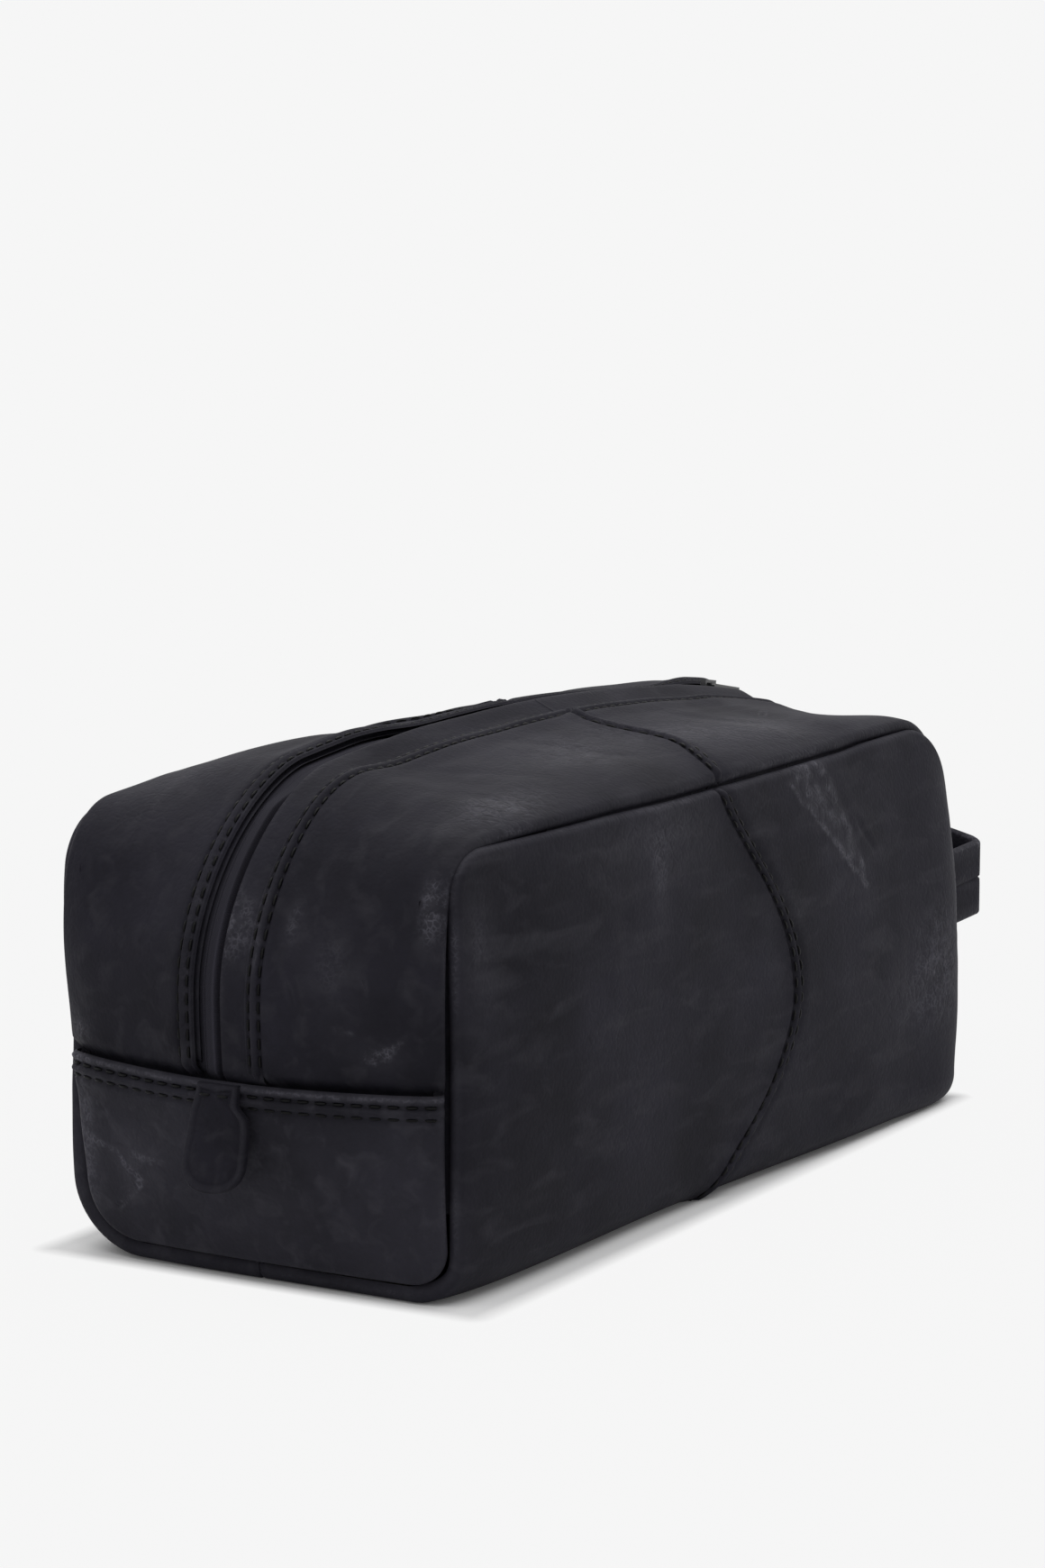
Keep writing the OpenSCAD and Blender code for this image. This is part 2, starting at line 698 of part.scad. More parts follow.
module lining_left() { color(black_cloth) mirror([0, 1, 0]) lining_side(); }

lining_inset = lining_d + lining_t + slack;
module lining_end(s) {
  color(black_cloth) end_sheet(s, end_lining_d, lining_t, lining_inset, lining_inset, panel_h);
}

module lining_end_front() { lining_end(-1); }

module lining_end_rear() { lining_end(1); }

lining_slot = 5.2;                              // top lining's edge, out from the zip's centre
module lining_shoulder(s) {
  shoulder_sheet(s, top_lining_d, lining_t, "seam", zip_y - lining_slot, 6, false, lining_set_in);
  shoulder_sheet(s, top_lining_d, lining_t, zip_y + lining_slot, "seam", 6, false, lining_set_in);
}

module lining_shoulder_front() { color(black_cloth) lining_shoulder(-1); }

module lining_shoulder_rear() { color(black_cloth) lining_shoulder(1); }

module lining_mouth(y0, y1) {
  top_sheet(
    -mouth_front, mouth_rear, top_lining_d, lining_t, y0, y1, 12, 6, false, lining_set_in
  );
}

module lining_mouth_right() { color(black_cloth) lining_mouth("seam", zip_y - lining_slot); }

module lining_mouth_left() { color(black_cloth) lining_mouth(zip_y + lining_slot, "seam"); }

// --- Assembly ------------------------------------------------------------------------------

side_right_front();
side_right_rear();
side_left_front();
side_left_rear();
end_panel_front();
end_panel_rear();
shoulder_right_front();
shoulder_right_rear();
shoulder_left_front();
shoulder_left_rear();
mouth_right_front();
mouth_right_rear();
mouth_left_front();
mouth_left_rear();
zip_band_front();
zip_band_mouth();
zip_band_rear();
zip_tape_front();
zip_tape_right();
zip_tape_left();
zip_tape_rear();
zip_coil_front();
zip_coil_right();
zip_coil_left();
zip_coil_rear();
zip_stop_front();
zip_stop_rear();
zip_slider();
zip_pull();
grab_tab_head();
grab_tab_face();
grab_tab_back();
handle_ends();
handle_face();
handle_backing();
interlining_right();
interlining_left();
base_board();
lining_right();
lining_left();
lining_end_front();
lining_end_rear();
lining_shoulder_front();
lining_shoulder_rear();
lining_mouth_right();
lining_mouth_left();
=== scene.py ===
import math

import bmesh
import bpy
import numpy as np
from mathutils import Matrix, Vector


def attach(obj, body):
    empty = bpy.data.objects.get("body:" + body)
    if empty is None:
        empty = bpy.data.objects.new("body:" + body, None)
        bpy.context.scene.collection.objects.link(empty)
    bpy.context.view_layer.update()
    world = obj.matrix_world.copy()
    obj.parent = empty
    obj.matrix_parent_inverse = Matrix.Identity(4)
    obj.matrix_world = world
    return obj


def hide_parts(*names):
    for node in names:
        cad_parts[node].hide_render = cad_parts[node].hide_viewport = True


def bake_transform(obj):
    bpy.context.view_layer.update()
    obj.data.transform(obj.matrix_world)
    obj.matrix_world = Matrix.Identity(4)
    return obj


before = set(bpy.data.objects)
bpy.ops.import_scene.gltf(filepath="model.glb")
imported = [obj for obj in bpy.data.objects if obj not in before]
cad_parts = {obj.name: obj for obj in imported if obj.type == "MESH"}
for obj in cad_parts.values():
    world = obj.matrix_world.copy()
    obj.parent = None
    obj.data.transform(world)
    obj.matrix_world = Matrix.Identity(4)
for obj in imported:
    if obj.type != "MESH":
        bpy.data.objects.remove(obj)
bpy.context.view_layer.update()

bl_info = {
    "name": "Leather Shaving Kit Bag",
    "version": (1, 0, 0),
    "blender": (4, 5, 0),
    "location": "View3D > Sidebar > Kit Bag",
    "description": "Builds the leather, zip, stitching and lining of a shaving kit bag",
    "category": "Add Mesh",
}

# All shapes below are worked out in millimetres: +X to the handle end, -Y to the right, +Z up.
MM = 0.001
FRONT, REAR = -1, 1
RIGHT, LEFT = -1, 1

HALF_L = 125.0            # half the length between the end seams
HALF_W = 51.8             # half the width between the side seams at the ends
SEAM_H = 105.0            # height of the top side seams
PANEL_H = 49.3            # height of the end panels' top edges
SHOULDER_Z = 68.0         # height where the ends swell most
# The side seams' top corners, and the corners at the foot of the ends
SEAM_R = {(FRONT, RIGHT): 12.0, (FRONT, LEFT): 15.0, (REAR, RIGHT): 22.0, (REAR, LEFT): 22.0}
BASE_R = {(FRONT, RIGHT): 12.0, (FRONT, LEFT): 19.0, (REAR, RIGHT): 8.0, (REAR, LEFT): 8.0}
# The end panels' own outline: how far in and up its edges lie, where the side leathers turn
# round onto the ends, and its corners
INSET = {(FRONT, RIGHT): 0.3, (FRONT, LEFT): 3.4, (REAR, RIGHT): 0.5, (REAR, LEFT): 0.5}
FOOT = {FRONT: 2.7, REAR: 1.6}
PANEL_R = {(FRONT, RIGHT): 11.0, (FRONT, LEFT): 15.5, (REAR, RIGHT): 9.0, (REAR, LEFT): 9.0}
WRAP, AHEAD = 3.0, 2.6    # radius of that turn, and how far past the end seam it reaches
END_SWELL = 14.5          # how far the ends swell beyond their seams
SIDE_SWELL = 2.5
BASE_SWELL = {FRONT: 2.3, REAR: 9.8}    # the rear is fuller at the floor than the front
SEAM_BOW = 5.5
REAR_BOW = 6.5
BOW_POWER = 2.6
FLAT_SHARE = 0.12
ARCH_R, ARCH_X, ARCH_H = 720.0, -15.0, 121.5   # the arch that the zip follows
ARCH_FROM = {FRONT: 92.0, REAR: 108.5}
MOUTH = {FRONT: 80.0, REAR: 94.0}
ZIP_Y = 5.4
SLOT_RIGHT, SLOT_LEFT = 1.2, 8.2               # the leather edges beside the zip
STRIP = (2.1, 6.6)        # where the closed tapes stand up between those edges
BAND_EDGE = -6.2                               # the band's seam with the top leather
TAPE_DEPTH = 2.6
COIL_R = (1.1, 0.62)      # half width and half height of a coil's turn
ARCH_DIP_Z = 108.0        # from this height on, the tapes sink to make room for the slider
SUNK = 0.3                # how far a stitch row's line lies under the raised leather
LAP = 6.0                 # how far one leather runs on under another at a lapped seam
TUCK = 5.0                # how far the shoulders run down behind the end panels
TURN, LEAD = 2.0, 1.55    # a seam's puffed edge turns this far, from this many radii before it
GAP = 0.2                 # how far an edge stays from its seam's line
ROWS = (0.9, 3.8)         # twin stitch rows, in from a lapped edge
TOP_ROWS = {RIGHT: (1.1, 3.7), LEFT: (1.3, 3.8)}
TAB_Y, TAB_X = 1.0, -138.84
STRAP_Z, STRAP_W, STRAP_T = 53.0, 21.0, 2.65
STRAP_SEAT, STRAP_OUT, STRAP_Y = 128.5, 164.2, 48.5

# Where the leather starts and stops bending between the fixed bag and an open mouth side
BEND = {FRONT: (-81.0, -18.0), REAR: (96.0, 33.0)}


def linear(code):
    """A colour written as six sRGB hex digits, turned to linear red, green, blue and alpha."""
    parts = [int(code[i:i + 2], 16) / 255 for i in (0, 2, 4)]
    return [c / 12.92 if c <= 0.04045 else ((c + 0.055) / 1.055) ** 2.4 for c in parts] + [1.0]


def colour_prop(name, description, code):
    return bpy.props.FloatVectorProperty(
        name=name, description=description, subtype="COLOR", size=4, min=0, max=1,
        default=linear(code))


def length_prop(name, description, default):
    return bpy.props.FloatProperty(
        name=name, description=description, unit="LENGTH", subtype="DISTANCE",
        default=default, min=0)


class KITBAG_PG_sizes(bpy.types.PropertyGroup):
    leather: length_prop("Leather", "Thickness of the leather", 0.0014)
    turned: length_prop("Turned edge", "Thickness of an edge turned in by the zip", 0.0024)
    groove: length_prop("Seam groove", "Radius of a leather edge turned into a seam", 0.0022)
    lift: length_prop("Lap", "How far a lapped edge stands above the leather under it", 0.0009)
    valley: length_prop("Stitch valley", "How deep the stitches pull the leather in", 0.0009)
    pitch: length_prop("Stitch pitch", "Length from one stitch to the next", 0.0041)
    thread: length_prop("Thread", "Thickness of the sewing thread", 0.0007)
    wrinkle: length_prop("Wrinkles", "Height of the leather's soft unevenness", 0.0009)
    grain: length_prop("Grain", "Width of one pebble of the leather's grain", 0.0011)
    weave: length_prop("Weave", "Spacing of the threads in the tape and the lining", 0.0006)
    coil: length_prop("Coil pitch", "Length from one turn of the zip's coil to the next", 0.0015)


class KITBAG_PG_colours(bpy.types.PropertyGroup):
    # These five are one leather: their colours differ only to offset how the light falls on each
    # part, so the differences between them are painted shade and painted light
    side: colour_prop("Sides", "Leather of the sides", "232229")
    top: colour_prop("Top", "Leather of the top and shoulders", "1f1e25")
    panel: colour_prop("End panels", "Leather of the end panels", "27262d")
    band: colour_prop("Band", "Leather of the band beside the zip", "1e1d24")
    trim: colour_prop("Tab and handle", "Leather of the tab and the handle", "1e1d24")
    thread: colour_prop("Thread", "Sewing thread", "040405")
    tape: colour_prop("Zip tape", "Woven tape of the zip", "29282f")
    coil: colour_prop("Zip coil", "Nylon coil of the zip", "1c1c1f")
    metal: colour_prop("Zip metal", "Enamelled slider, pull and stops", "1e1e21")
    lining: colour_prop("Lining", "Lining cloth", "1c1c20")
    foam: colour_prop("Interlining", "Foam-backed interlining", "3a3a3d")
    board: colour_prop("Base board", "Pressed fibre board", "6b675f")
    floor: colour_prop("Floor", "Studio floor", "f6f6f6")


def sizes():
    return bpy.context.scene.kitbag_sizes


def mm(name):
    """One of the sizes, in millimetres."""
    return getattr(sizes(), name) / MM


def colours():
    return bpy.context.scene.kitbag_colours


# --- Outline functions --------------------------------------------------------------------


def ease(t):
    """Smooth step: 0 below 0, 1 above 1, and 3t^2 - 2t^3 between."""
    t = np.clip(t, 0, 1)
    return t * t * (3 - 2 * t)


def bow(a):
    """A seam's share of its bow at the share a of its half length: 1 - |a|^2.6."""
    return 1 - np.minimum(1, np.abs(a)) ** BOW_POWER


def crown(a):
    """Fullness of a stuffed surface across its half width: flat in the middle, then
    1 - 0.85 b^1.6 - 0.15 b^10, where b runs from 0 at the flat to 1 at the seam."""
    b = np.clip((np.abs(a) - FLAT_SHARE) / (1 - FLAT_SHARE), 0, 1)
    return 1 - 0.85 * b ** 1.6 - 0.15 * b ** 10


def rise(z):
    """Share of an end's swell at height z: sin^0.75 of a quarter turn up to the shoulder."""
    return np.sin(np.pi / 2 * np.clip(z / SHOULDER_Z, 0, 1)) ** 0.75


def end_bow(s, z):
    """How far an end seam stands out at height z; only the rear one bows."""
    if s == FRONT:
        return np.zeros_like(z)
    return REAR_BOW * np.sin(np.pi * np.clip(z / SEAM_H, 0, 1) ** 0.6)


def side_swell(x, z):
    """How far a side stands out beyond half the width at x and height z: the top seam's bow,
    a half sine up the wall and a bulge at the floor, all fading to the end seams."""
    a = x / HALF_L
    fade = 1 - np.minimum(1, np.abs(a)) ** 15
    level = z / SEAM_H
    wall = SIDE_SWELL * np.sin(np.pi * np.clip(level, 0, 1)) * (1 + 0.35 * a)
    full = BASE_SWELL[FRONT] + (BASE_SWELL[REAR] - BASE_SWELL[FRONT]) * ease((a + 0.35) / 1.2)
    foot = full * (1 - level)
    return SEAM_BOW * level * bow(a) + (wall + foot) * fade


def seam_y(x):
    """Half width of the top at x, at the side seams."""
    return HALF_W + SEAM_BOW * bow(x / HALF_L)


def arch(x):
    """Height of the zip over the top: a circle of radius ARCH_R with its crown at ARCH_X."""
    return ARCH_H - ARCH_R + np.sqrt(ARCH_R ** 2 - (x - ARCH_X) ** 2)


def base_round(x, side):
    """Radius of a long bottom edge at x; it grows towards the front corner."""
    front = BASE_R[FRONT, side]
    return 8.0 + (front - 8.0) * np.clip(-x / HALF_L, 0, 1) ** 6


def wave(z):
    """Place along the length of the curved seam on a side, at height z."""
    return -7 + 37 * np.sin(np.pi * np.clip(z / SEAM_H, 0, 1) ** 0.88) ** 1.3


def top_wave(y):
    """The same seam where it crosses the top, at y: a shallow S from the side seam to the zip."""
    a = np.clip(np.abs(y) / 57.0, 0, 1)
    return 4.6 - 9.0 * ease((a - 0.62) / 0.38) - 3.2 * np.exp(-((a - 0.33) / 0.17) ** 2)


def slump(p):
    """The bag's own unevenness, which moves every piece near a place alike. Its lower rear
    corners are fuller, its front left shoulder bulges, and behind the front shoulder the top
    falls away on both sides of the zip, most on the left and at the rear right."""
    x, y, z = p[..., 0], p[..., 1], p[..., 2]
    # The lower rear corners stand out
    rear = ease((x - 88) / 42) * (1 - 0.75 * ease((z - 55) / 55))
    out = np.sign(y) * np.clip(np.abs(y) / 52, 0, 1) ** 2
    dy = np.where(y < 0, 5.1, 3.2) * rear * out
    dx = 1.2 * rear * np.abs(out)
    # The front left shoulder and the corner below it bulge
    near = np.exp(-(((x + 124) / 26) ** 2 + ((y - 46) / 22) ** 2 + ((z - 82) / 28) ** 2))
    hip = np.exp(-(((x + 124) / 24) ** 2 + ((y - 50) / 20) ** 2 + ((z - 28) / 20) ** 2))
    # The top falls away on the right of the zip, then on the left, and a little all over
    top = ease((z - 86) / 24)
    dz = -4.2 * ease((x + 116) / 40) * top * ease((4 - y) / 13) * (1 - ease((-y - 22) / 34))
    left = ease((x + 74) / 34) * (1 - ease((x - 74) / 26))
    dz -= 3.4 * left * top * ease((y - 0.5) / 14) * (1 - 0.6 * ease((y - 30) / 25))
    dz += 0.7 * top * np.exp(-(((x - 116) / 16) ** 2 + ((y - 17) / 10) ** 2))
    dz -= 0.6 * top * ease((x + 60) / 30) * (1 - ease((x - 60) / 16))
    dz -= 1.2 * top * np.exp(-(((x - 116) / 24) ** 2 + ((y + 28) / 18) ** 2))
    # The front left top corner stands up, and the foot below it is lifted
    horn = np.exp(-(((x + 112) / 22) ** 2 + ((y - 46) / 16) ** 2 + ((z - 104) / 16) ** 2))
    dz += 1.3 * horn
    low = np.exp(-(((x + 120) / 30) ** 2 + ((y - 40) / 16) ** 2 + (z / 9) ** 2))
    dx = dx - 2.8 * near - 0.8 * hip
    dy = dy + 2.2 * near + 1.2 * hip
    return p + np.stack([dx, dy, dz + 0.5 * low], -1)


def noise(p, size, seed):
    """Value noise in space: a hashed number at each corner of cells of the given size,
    joined smoothly; from -1 to 1."""
    q = p / size + 1000.0
    base = np.floor(q).astype(np.int64)
    f = q - base
    f = f * f * (3 - 2 * f)
    total = np.zeros(p.shape[:-1])
    for corner in range(8):
        step = np.array([corner & 1, corner >> 1 & 1, corner >> 2 & 1])
        i = base + step
        h = (i[..., 0] * 73856093 ^ i[..., 1] * 19349663 ^ i[..., 2] * 83492791) + seed * 374761
        h = (h ^ (h >> 13)) * 1274126177 & 0x7FFFFFFF
        weight = np.prod(np.where(step, f, 1 - f), axis=-1)
        total += weight * ((h ^ (h >> 15)) & 0xFFFF) / 32767.5
    return total - 1


def crease_reach(p, a, b):
    """Distance of p from the line from a to b, bent by noise, and how far the crease on it
    has faded: 1 in its middle and 0 past its ends."""
    a, b = np.array(a, float), np.array(b, float)
    way = b - a
    bent = p + 1.6 * np.stack([noise(p, 9.0, seed) for seed in (9, 10, 11)], -1)
    t = ((bent - a) @ way) / (way @ way)
    offset = bent - (a + np.clip(t, 0, 1)[..., None] * way)
    fade = ease((t + 0.15) / 0.4) * ease((1.15 - t) / 0.4)
    return np.linalg.norm(offset, axis=-1), fade


def crease(p, a, b, width, depth):
    """A crease from point a to point b: a smooth valley as deep as depth with a low ridge on
    each side, fading at its ends."""
    d, fade = crease_reach(p, a, b)
    r = d / width
    return depth * fade * (1.6 * r * r - 1) * np.exp(-r * r)


# --- Mesh helpers -------------------------------------------------------------------------


def new_piece(name, points, faces, material, uv=None, wear=None, smooth=True):
    """A mesh object from millimetre points and a list of face arrays, at the origin."""
    mesh = bpy.data.meshes.new(name)
    counts = np.concatenate([np.full(len(f), f.shape[1]) for f in faces])
    corners = np.concatenate([f.ravel() for f in faces]).astype(np.int32)
    mesh.vertices.add(len(points))
    mesh.vertices.foreach_set("co", (points * MM).astype(np.float32).ravel())
    mesh.loops.add(len(corners))
    mesh.loops.foreach_set("vertex_index", corners)
    mesh.polygons.add(len(counts))
    mesh.polygons.foreach_set(
        "loop_start", np.concatenate([[0], np.cumsum(counts)[:-1]]).astype(np.int32))
    mesh.polygons.foreach_set("use_smooth", np.full(len(counts), smooth))
    mesh.update(calc_edges=True)
    mesh.validate()
    if uv is not None:
        layer = mesh.uv_layers.new(name="UVMap")
        layer.data.foreach_set("uv", uv[corners].astype(np.float32).ravel())
    # Each point's paleness: partly wear, partly painted highlights on lit edges, ridges and corners
    shade = mesh.attributes.new("wear", "FLOAT", "POINT")
    shade.data.foreach_set(
        "value", (np.zeros(len(points)) if wear is None else wear.ravel()).astype(np.float32))
    mesh.materials.append(material)
    piece = bpy.data.objects.new(name, mesh)
    bpy.context.scene.collection.objects.link(piece)
    return piece


def grid_faces(rows, cols, start=0, turned=False, round_cols=False):
    """Quads of a grid of points; round_cols joins the last column to the first."""
    i = np.arange(rows - 1)[:, None] * cols
    j = np.arange(cols if round_cols else cols - 1)[None, :]
    k = (j + 1) % cols
    quads = np.stack([i + j, i + k, i + cols + k, i + cols + j], -1).reshape(-1, 4) + start
    return quads[:, ::-1] if turned else quads


def grid_normals(g):
    """Unit normals of a grid of points, from the differences along its rows and columns."""
    n = np.cross(np.gradient(g, axis=1), np.gradient(g, axis=0))
    return n / np.maximum(np.linalg.norm(n, axis=-1, keepdims=True), 1e-9)


def outward(g, n):
    """+1 or -1: whether the normals point away from the bag's middle."""
    return 1 if np.sum((g - np.array([0, 0, 52.0])) * n) > 0 else -1


# Distances in mm from a rolled edge at which a grid has a line of points, and the step from
# the last of them to the even part of the grid
RIM_PLACES = (0, 0.12, 0.3, 0.5, 0.75, 1.0, 1.3, 1.7, 2.1, 2.6, 3.0, 3.35, 3.65, 3.95, 4.3, 4.8)
RIM_GAP = 0.9


def places(start, stop, count, near=(True, True)):
    """Places from start to stop for each row: even in the middle, and closer and closer
    together at an end that has a rolled edge."""
    start, stop = np.atleast_1d(start)[:, None], np.atleast_1d(stop)[:, None]
    rim = np.array(RIM_PLACES)
    way = np.sign(stop - start)
    inner = start + way * (rim[-1] + RIM_GAP if near[0] else 0)
    outer = stop - way * (rim[-1] + RIM_GAP if near[1] else 0)
    parts = [inner + (outer - inner) * np.linspace(0, 1, count)[None, :]]
    if near[0]:
        parts.insert(0, start + way * rim[None, :])
    if near[1]:
        parts.append(stop - way * rim[None, ::-1])
    return np.concatenate(parts, axis=1)


def roll(distance, radius):
    """How far a turned-in edge has curved away at a distance from it: a quarter circle."""
    d = radius - np.clip(distance, 0, radius)
    return radius - np.sqrt(np.maximum(radius ** 2 - d ** 2, 0))


def puffed(distance, radius):
    """How far a puffed edge has curved away, and slid back, at a distance from its seam: an
    arc of TURN radians that begins LEAD radii before the seam."""
    back = np.clip(LEAD * radius - distance, 0, None)
    a = np.minimum(back / (LEAD * radius), 1) * TURN
    return radius * (1 - np.cos(a)), back - radius * np.sin(a)


def downhill(g, d):
    """Unit directions along a surface in which the distance d falls fastest: the slope is
    found from the surface's first fundamental form."""
    gu, gv = np.gradient(g, axis=0), np.gradient(g, axis=1)
    du, dv = np.gradient(d, axis=0), np.gradient(d, axis=1)
    e, f, h = (np.sum(a * b, axis=-1) for a, b in ((gu, gu), (gu, gv), (gv, gv)))
    det = np.maximum(e * h - f * f, 1e-9)
    m = (h * du - f * dv)[..., None] * gu + (e * dv - f * du)[..., None] * gv
    m = -m / det[..., None]
    return m / np.maximum(np.linalg.norm(m, axis=-1, keepdims=True), 1e-9)


def valleys(distance, depth, rows=ROWS):
    """Depth that stitch rows pull the leather in, each a narrow bell across the row, less the
    ridge that stands up between them."""
    ridge = 0.6 * depth * np.exp(-((distance - sum(rows) / 2) / 0.85) ** 2)
    return sum(depth * np.exp(-((distance - r) / 0.5) ** 2) for r in rows) - ridge


def along(g, axis):
    """Length run from the first line of a grid, along its rows or columns."""
    step = np.linalg.norm(np.diff(g, axis=axis), axis=-1)
    zero = np.zeros_like(np.take(step, [0], axis=axis))
    return np.concatenate([zero, np.cumsum(step, axis=axis)], axis=axis)


def shell(name, g, height, thickness, material, wear=None, uv=None, pull=0.0):
    """A closed leather or cloth piece: the grid g raised by height along its normals and moved
    by pull, and a second surface thickness below, joined round all four edges."""
    n = grid_normals(g)
    sign = outward(g, n)
    outer = g + n * sign * np.asarray(height)[..., None] + pull
    n = grid_normals(outer) * sign
    inner = outer - n * np.broadcast_to(thickness, g.shape[:2])[..., None]
    rows, cols = g.shape[:2]
    size = rows * cols
    faces = [grid_faces(rows, cols, 0, sign > 0), grid_faces(rows, cols, size, sign < 0)]
    first, last = np.arange(cols), np.arange(cols) + (rows - 1) * cols
    left, right = np.arange(rows) * cols, np.arange(rows) * cols + cols - 1
    for line, turn in ((first, False), (last, True), (left, True), (right, False)):
        quads = np.stack([line[:-1], line[1:], line[1:] + size, line[:-1] + size], -1)
        faces.append(quads if turn == (sign > 0) else quads[:, ::-1])
    points = slump(np.concatenate([outer.reshape(-1, 3), inner.reshape(-1, 3)]))
    two = lambda v: None if v is None else np.concatenate([v.reshape(size, -1)] * 2)
    return new_piece(name, points, faces, material, two(uv), two(wear))


def ring_faces(rows, cols):
    """Faces of a closed bar: quads from each ring to the next, and a flat cap at each end."""
    caps = [np.arange(cols)[None, ::-1], (np.arange(cols) + (rows - 1) * cols)[None]]
    return [grid_faces(rows, cols, 0, False, True)] + caps


def tube(name, centres, across, up, outline, material, wear=None):
    """A closed outline of (across, up) points carried along a path, with flat ends."""
    rings = (centres[:, None] + across[:, None] * outline[None, :, :1]
             + up[:, None] * outline[None, :, 1:])
    piece = new_piece(name, rings.reshape(-1, 3), ring_faces(*rings.shape[:2]), material,
                      wear=wear)
    fix_normals(piece)
    return piece


def fix_normals(piece):
    """Makes a closed piece's faces point outwards."""
    bm = bmesh.new()
    bm.from_mesh(piece.data)
    bmesh.ops.remove_doubles(bm, verts=bm.verts, dist=1e-7)
    bmesh.ops.recalc_face_normals(bm, faces=bm.faces)
    bm.to_mesh(piece.data)
    bm.free()


def path_run(points):
    """Length run along a path of points, from 0 at its first."""
    return np.concatenate([[0], np.cumsum(np.linalg.norm(np.diff(points, axis=0), axis=1))])


def stitch_row(points, normals, gap=0.0):
    """Places, ways and normals of the stitches of one row, evenly along a path of points."""
    pitch = mm("pitch")
    run = path_run(points)
    count = max(2, int((run[-1] - 2 * gap) / pitch))
    mid = gap + (np.arange(count) + 0.5) * (run[-1] - 2 * gap) / count
    at = lambda v, r: np.stack([np.interp(r, run, v[:, k]) for k in range(3)], -1)
    way = at(points, mid + 0.3) - at(points, mid - 0.3)
    return at(points, mid), way, at(normals, mid)


def stitches(name, rows, material):
    """Sewing thread: each stitch is a short round-ended arc that dips into the leather at
    both ends. One mesh holds all the rows given."""
    place, way, up = (np.concatenate([r[k] for r in rows]) for k in range(3))
    way /= np.linalg.norm(way, axis=1, keepdims=True)
    up -= way * np.sum(up * way, axis=1, keepdims=True)
    up /= np.linalg.norm(up, axis=1, keepdims=True)
    side = np.cross(up, way)
    half, r = mm("pitch") * 0.33, mm("thread") / 2
    s = np.array([-1, -0.88, -0.45, 0, 0.45, 0.88, 1])
    fat = r * np.array([0.35, 0.8, 1, 1.05, 1, 0.8, 0.35])
    turn = np.arange(6) * np.pi / 3
    ring = np.stack([
        np.broadcast_to((s * half)[:, None], (7, 6)),
        fat[:, None] * np.cos(turn),
        fat[:, None] * np.sin(turn) * 0.8 + (0.22 - 0.55 * s ** 4)[:, None] * 1.3 * r,
    ], -1).reshape(-1, 3)
    points = (place[:, None] + way[:, None] * ring[None, :, :1]
              + side[:, None] * ring[None, :, 1:2] + up[:, None] * ring[None, :, 2:])
    shift = np.arange(len(place))[:, None, None] * len(ring)
    quads = (grid_faces(7, 6, 0, False, True)[None] + shift).reshape(-1, 4)
    ends = np.array([[5, 4, 3, 2, 1, 0], [36, 37, 38, 39, 40, 41]])
    ends = (ends[None] + shift).reshape(-1, 6)
    piece = new_piece(name, slump(points.reshape(-1, 3)), [quads, ends], material)
    fix_normals(piece)
    return piece


def settle(piece, bodies, nodes=()):
    """Puts a piece on its body, or bends it between two, and says what it stands for."""
    if len(bodies) == 1:
        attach(piece, bodies[0])
    else:
        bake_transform(piece)
    if nodes:
        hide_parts(*nodes)
    return piece


def mouth_bend(s, side):
    """The two bodies and the stretch over which a top piece bends between them."""
    start, stop = BEND[s]
    return ("bag", "mouth_" + side_name(side)), ((start * MM, 0, 0.1), (stop * MM, 0, 0.1))


def end_name(s):
    return "front" if s == FRONT else "rear"


def side_name(side):
    return "right" if side == RIGHT else "left"


# --- Surfaces of the bag ------------------------------------------------------------------


def side_surface(x, v, side):
    """Outer surface of a side: v runs 0 to 1 down the wall, 1 to 2 round the bottom edge as a
    quarter circle and 2 to 3 under the base to the centre seam. The wall swells outwards, and
    the swell fades under the base."""
    r = base_round(x, side)
    wall, turn, under = np.clip(v, 0, 1), np.clip(v - 1, 0, 1) * np.pi / 2, np.clip(v - 2, 0, 1)
    y = HALF_W - r + r * np.cos(turn) - (HALF_W - r) * under
    z = SEAM_H + (r - SEAM_H) * wall - r * np.sin(turn)
    out = y + side_swell(x, z) * (1 - under)
    return np.stack([x, side * out, z], -1)


def side_level(x, v, side):
    """Height of side_surface, for the seams that are set by height."""
    r = base_round(x, side)
    return SEAM_H + (r - SEAM_H) * np.clip(v, 0, 1) - r * np.sin(np.clip(v - 1, 0, 1) * np.pi / 2)


def side_reach(s, z, side):
    """Half length of a side at height z, with a round top corner."""
    r = SEAM_R[s, side]
    over = np.clip(z - SEAM_H + r, 0, r)
    return HALF_L + end_bow(s, z) - (r - np.sqrt(np.maximum(r * r - over * over, 0)))


def from_corner(a, b, r):
    """Distance inside two edges that meet in a round corner of radius r, from the distances a
    and b to the two edges' own lines."""
    corner = r - np.hypot(np.minimum(a - r, 0), np.minimum(b - r, 0))
    return np.where((a < r) & (b < r), corner, np.minimum(a, b))


def side_rim(x, z, s, side):
    """Distance on a side from its end seam and top seam, round the corner between them."""
    return from_corner(HALF_L + end_bow(s, z) - s * x, SEAM_H - z, SEAM_R[s, side])


def side_rows():
    """Rows of a side's grid, as places along v: fine at the top seam and at the base seam."""
    corner = 1 - np.cos(np.linspace(0, 1, 30) * np.pi / 2)
    top = places(0.0, 24.0, 14)[0] / (SEAM_H - 8)
    top = np.unique(np.round(np.concatenate([top, corner * 24 / (SEAM_H - 8)]), 5))
    wall = np.linspace(top[-1], 1, 58)[1:]
    turn = np.linspace(1, 2, 16)[1:]
    base = 2 + places(0.0, 44.0, 26, (False, True))[0][1:] / 44.0
    return np.concatenate([top, wall, turn, base])


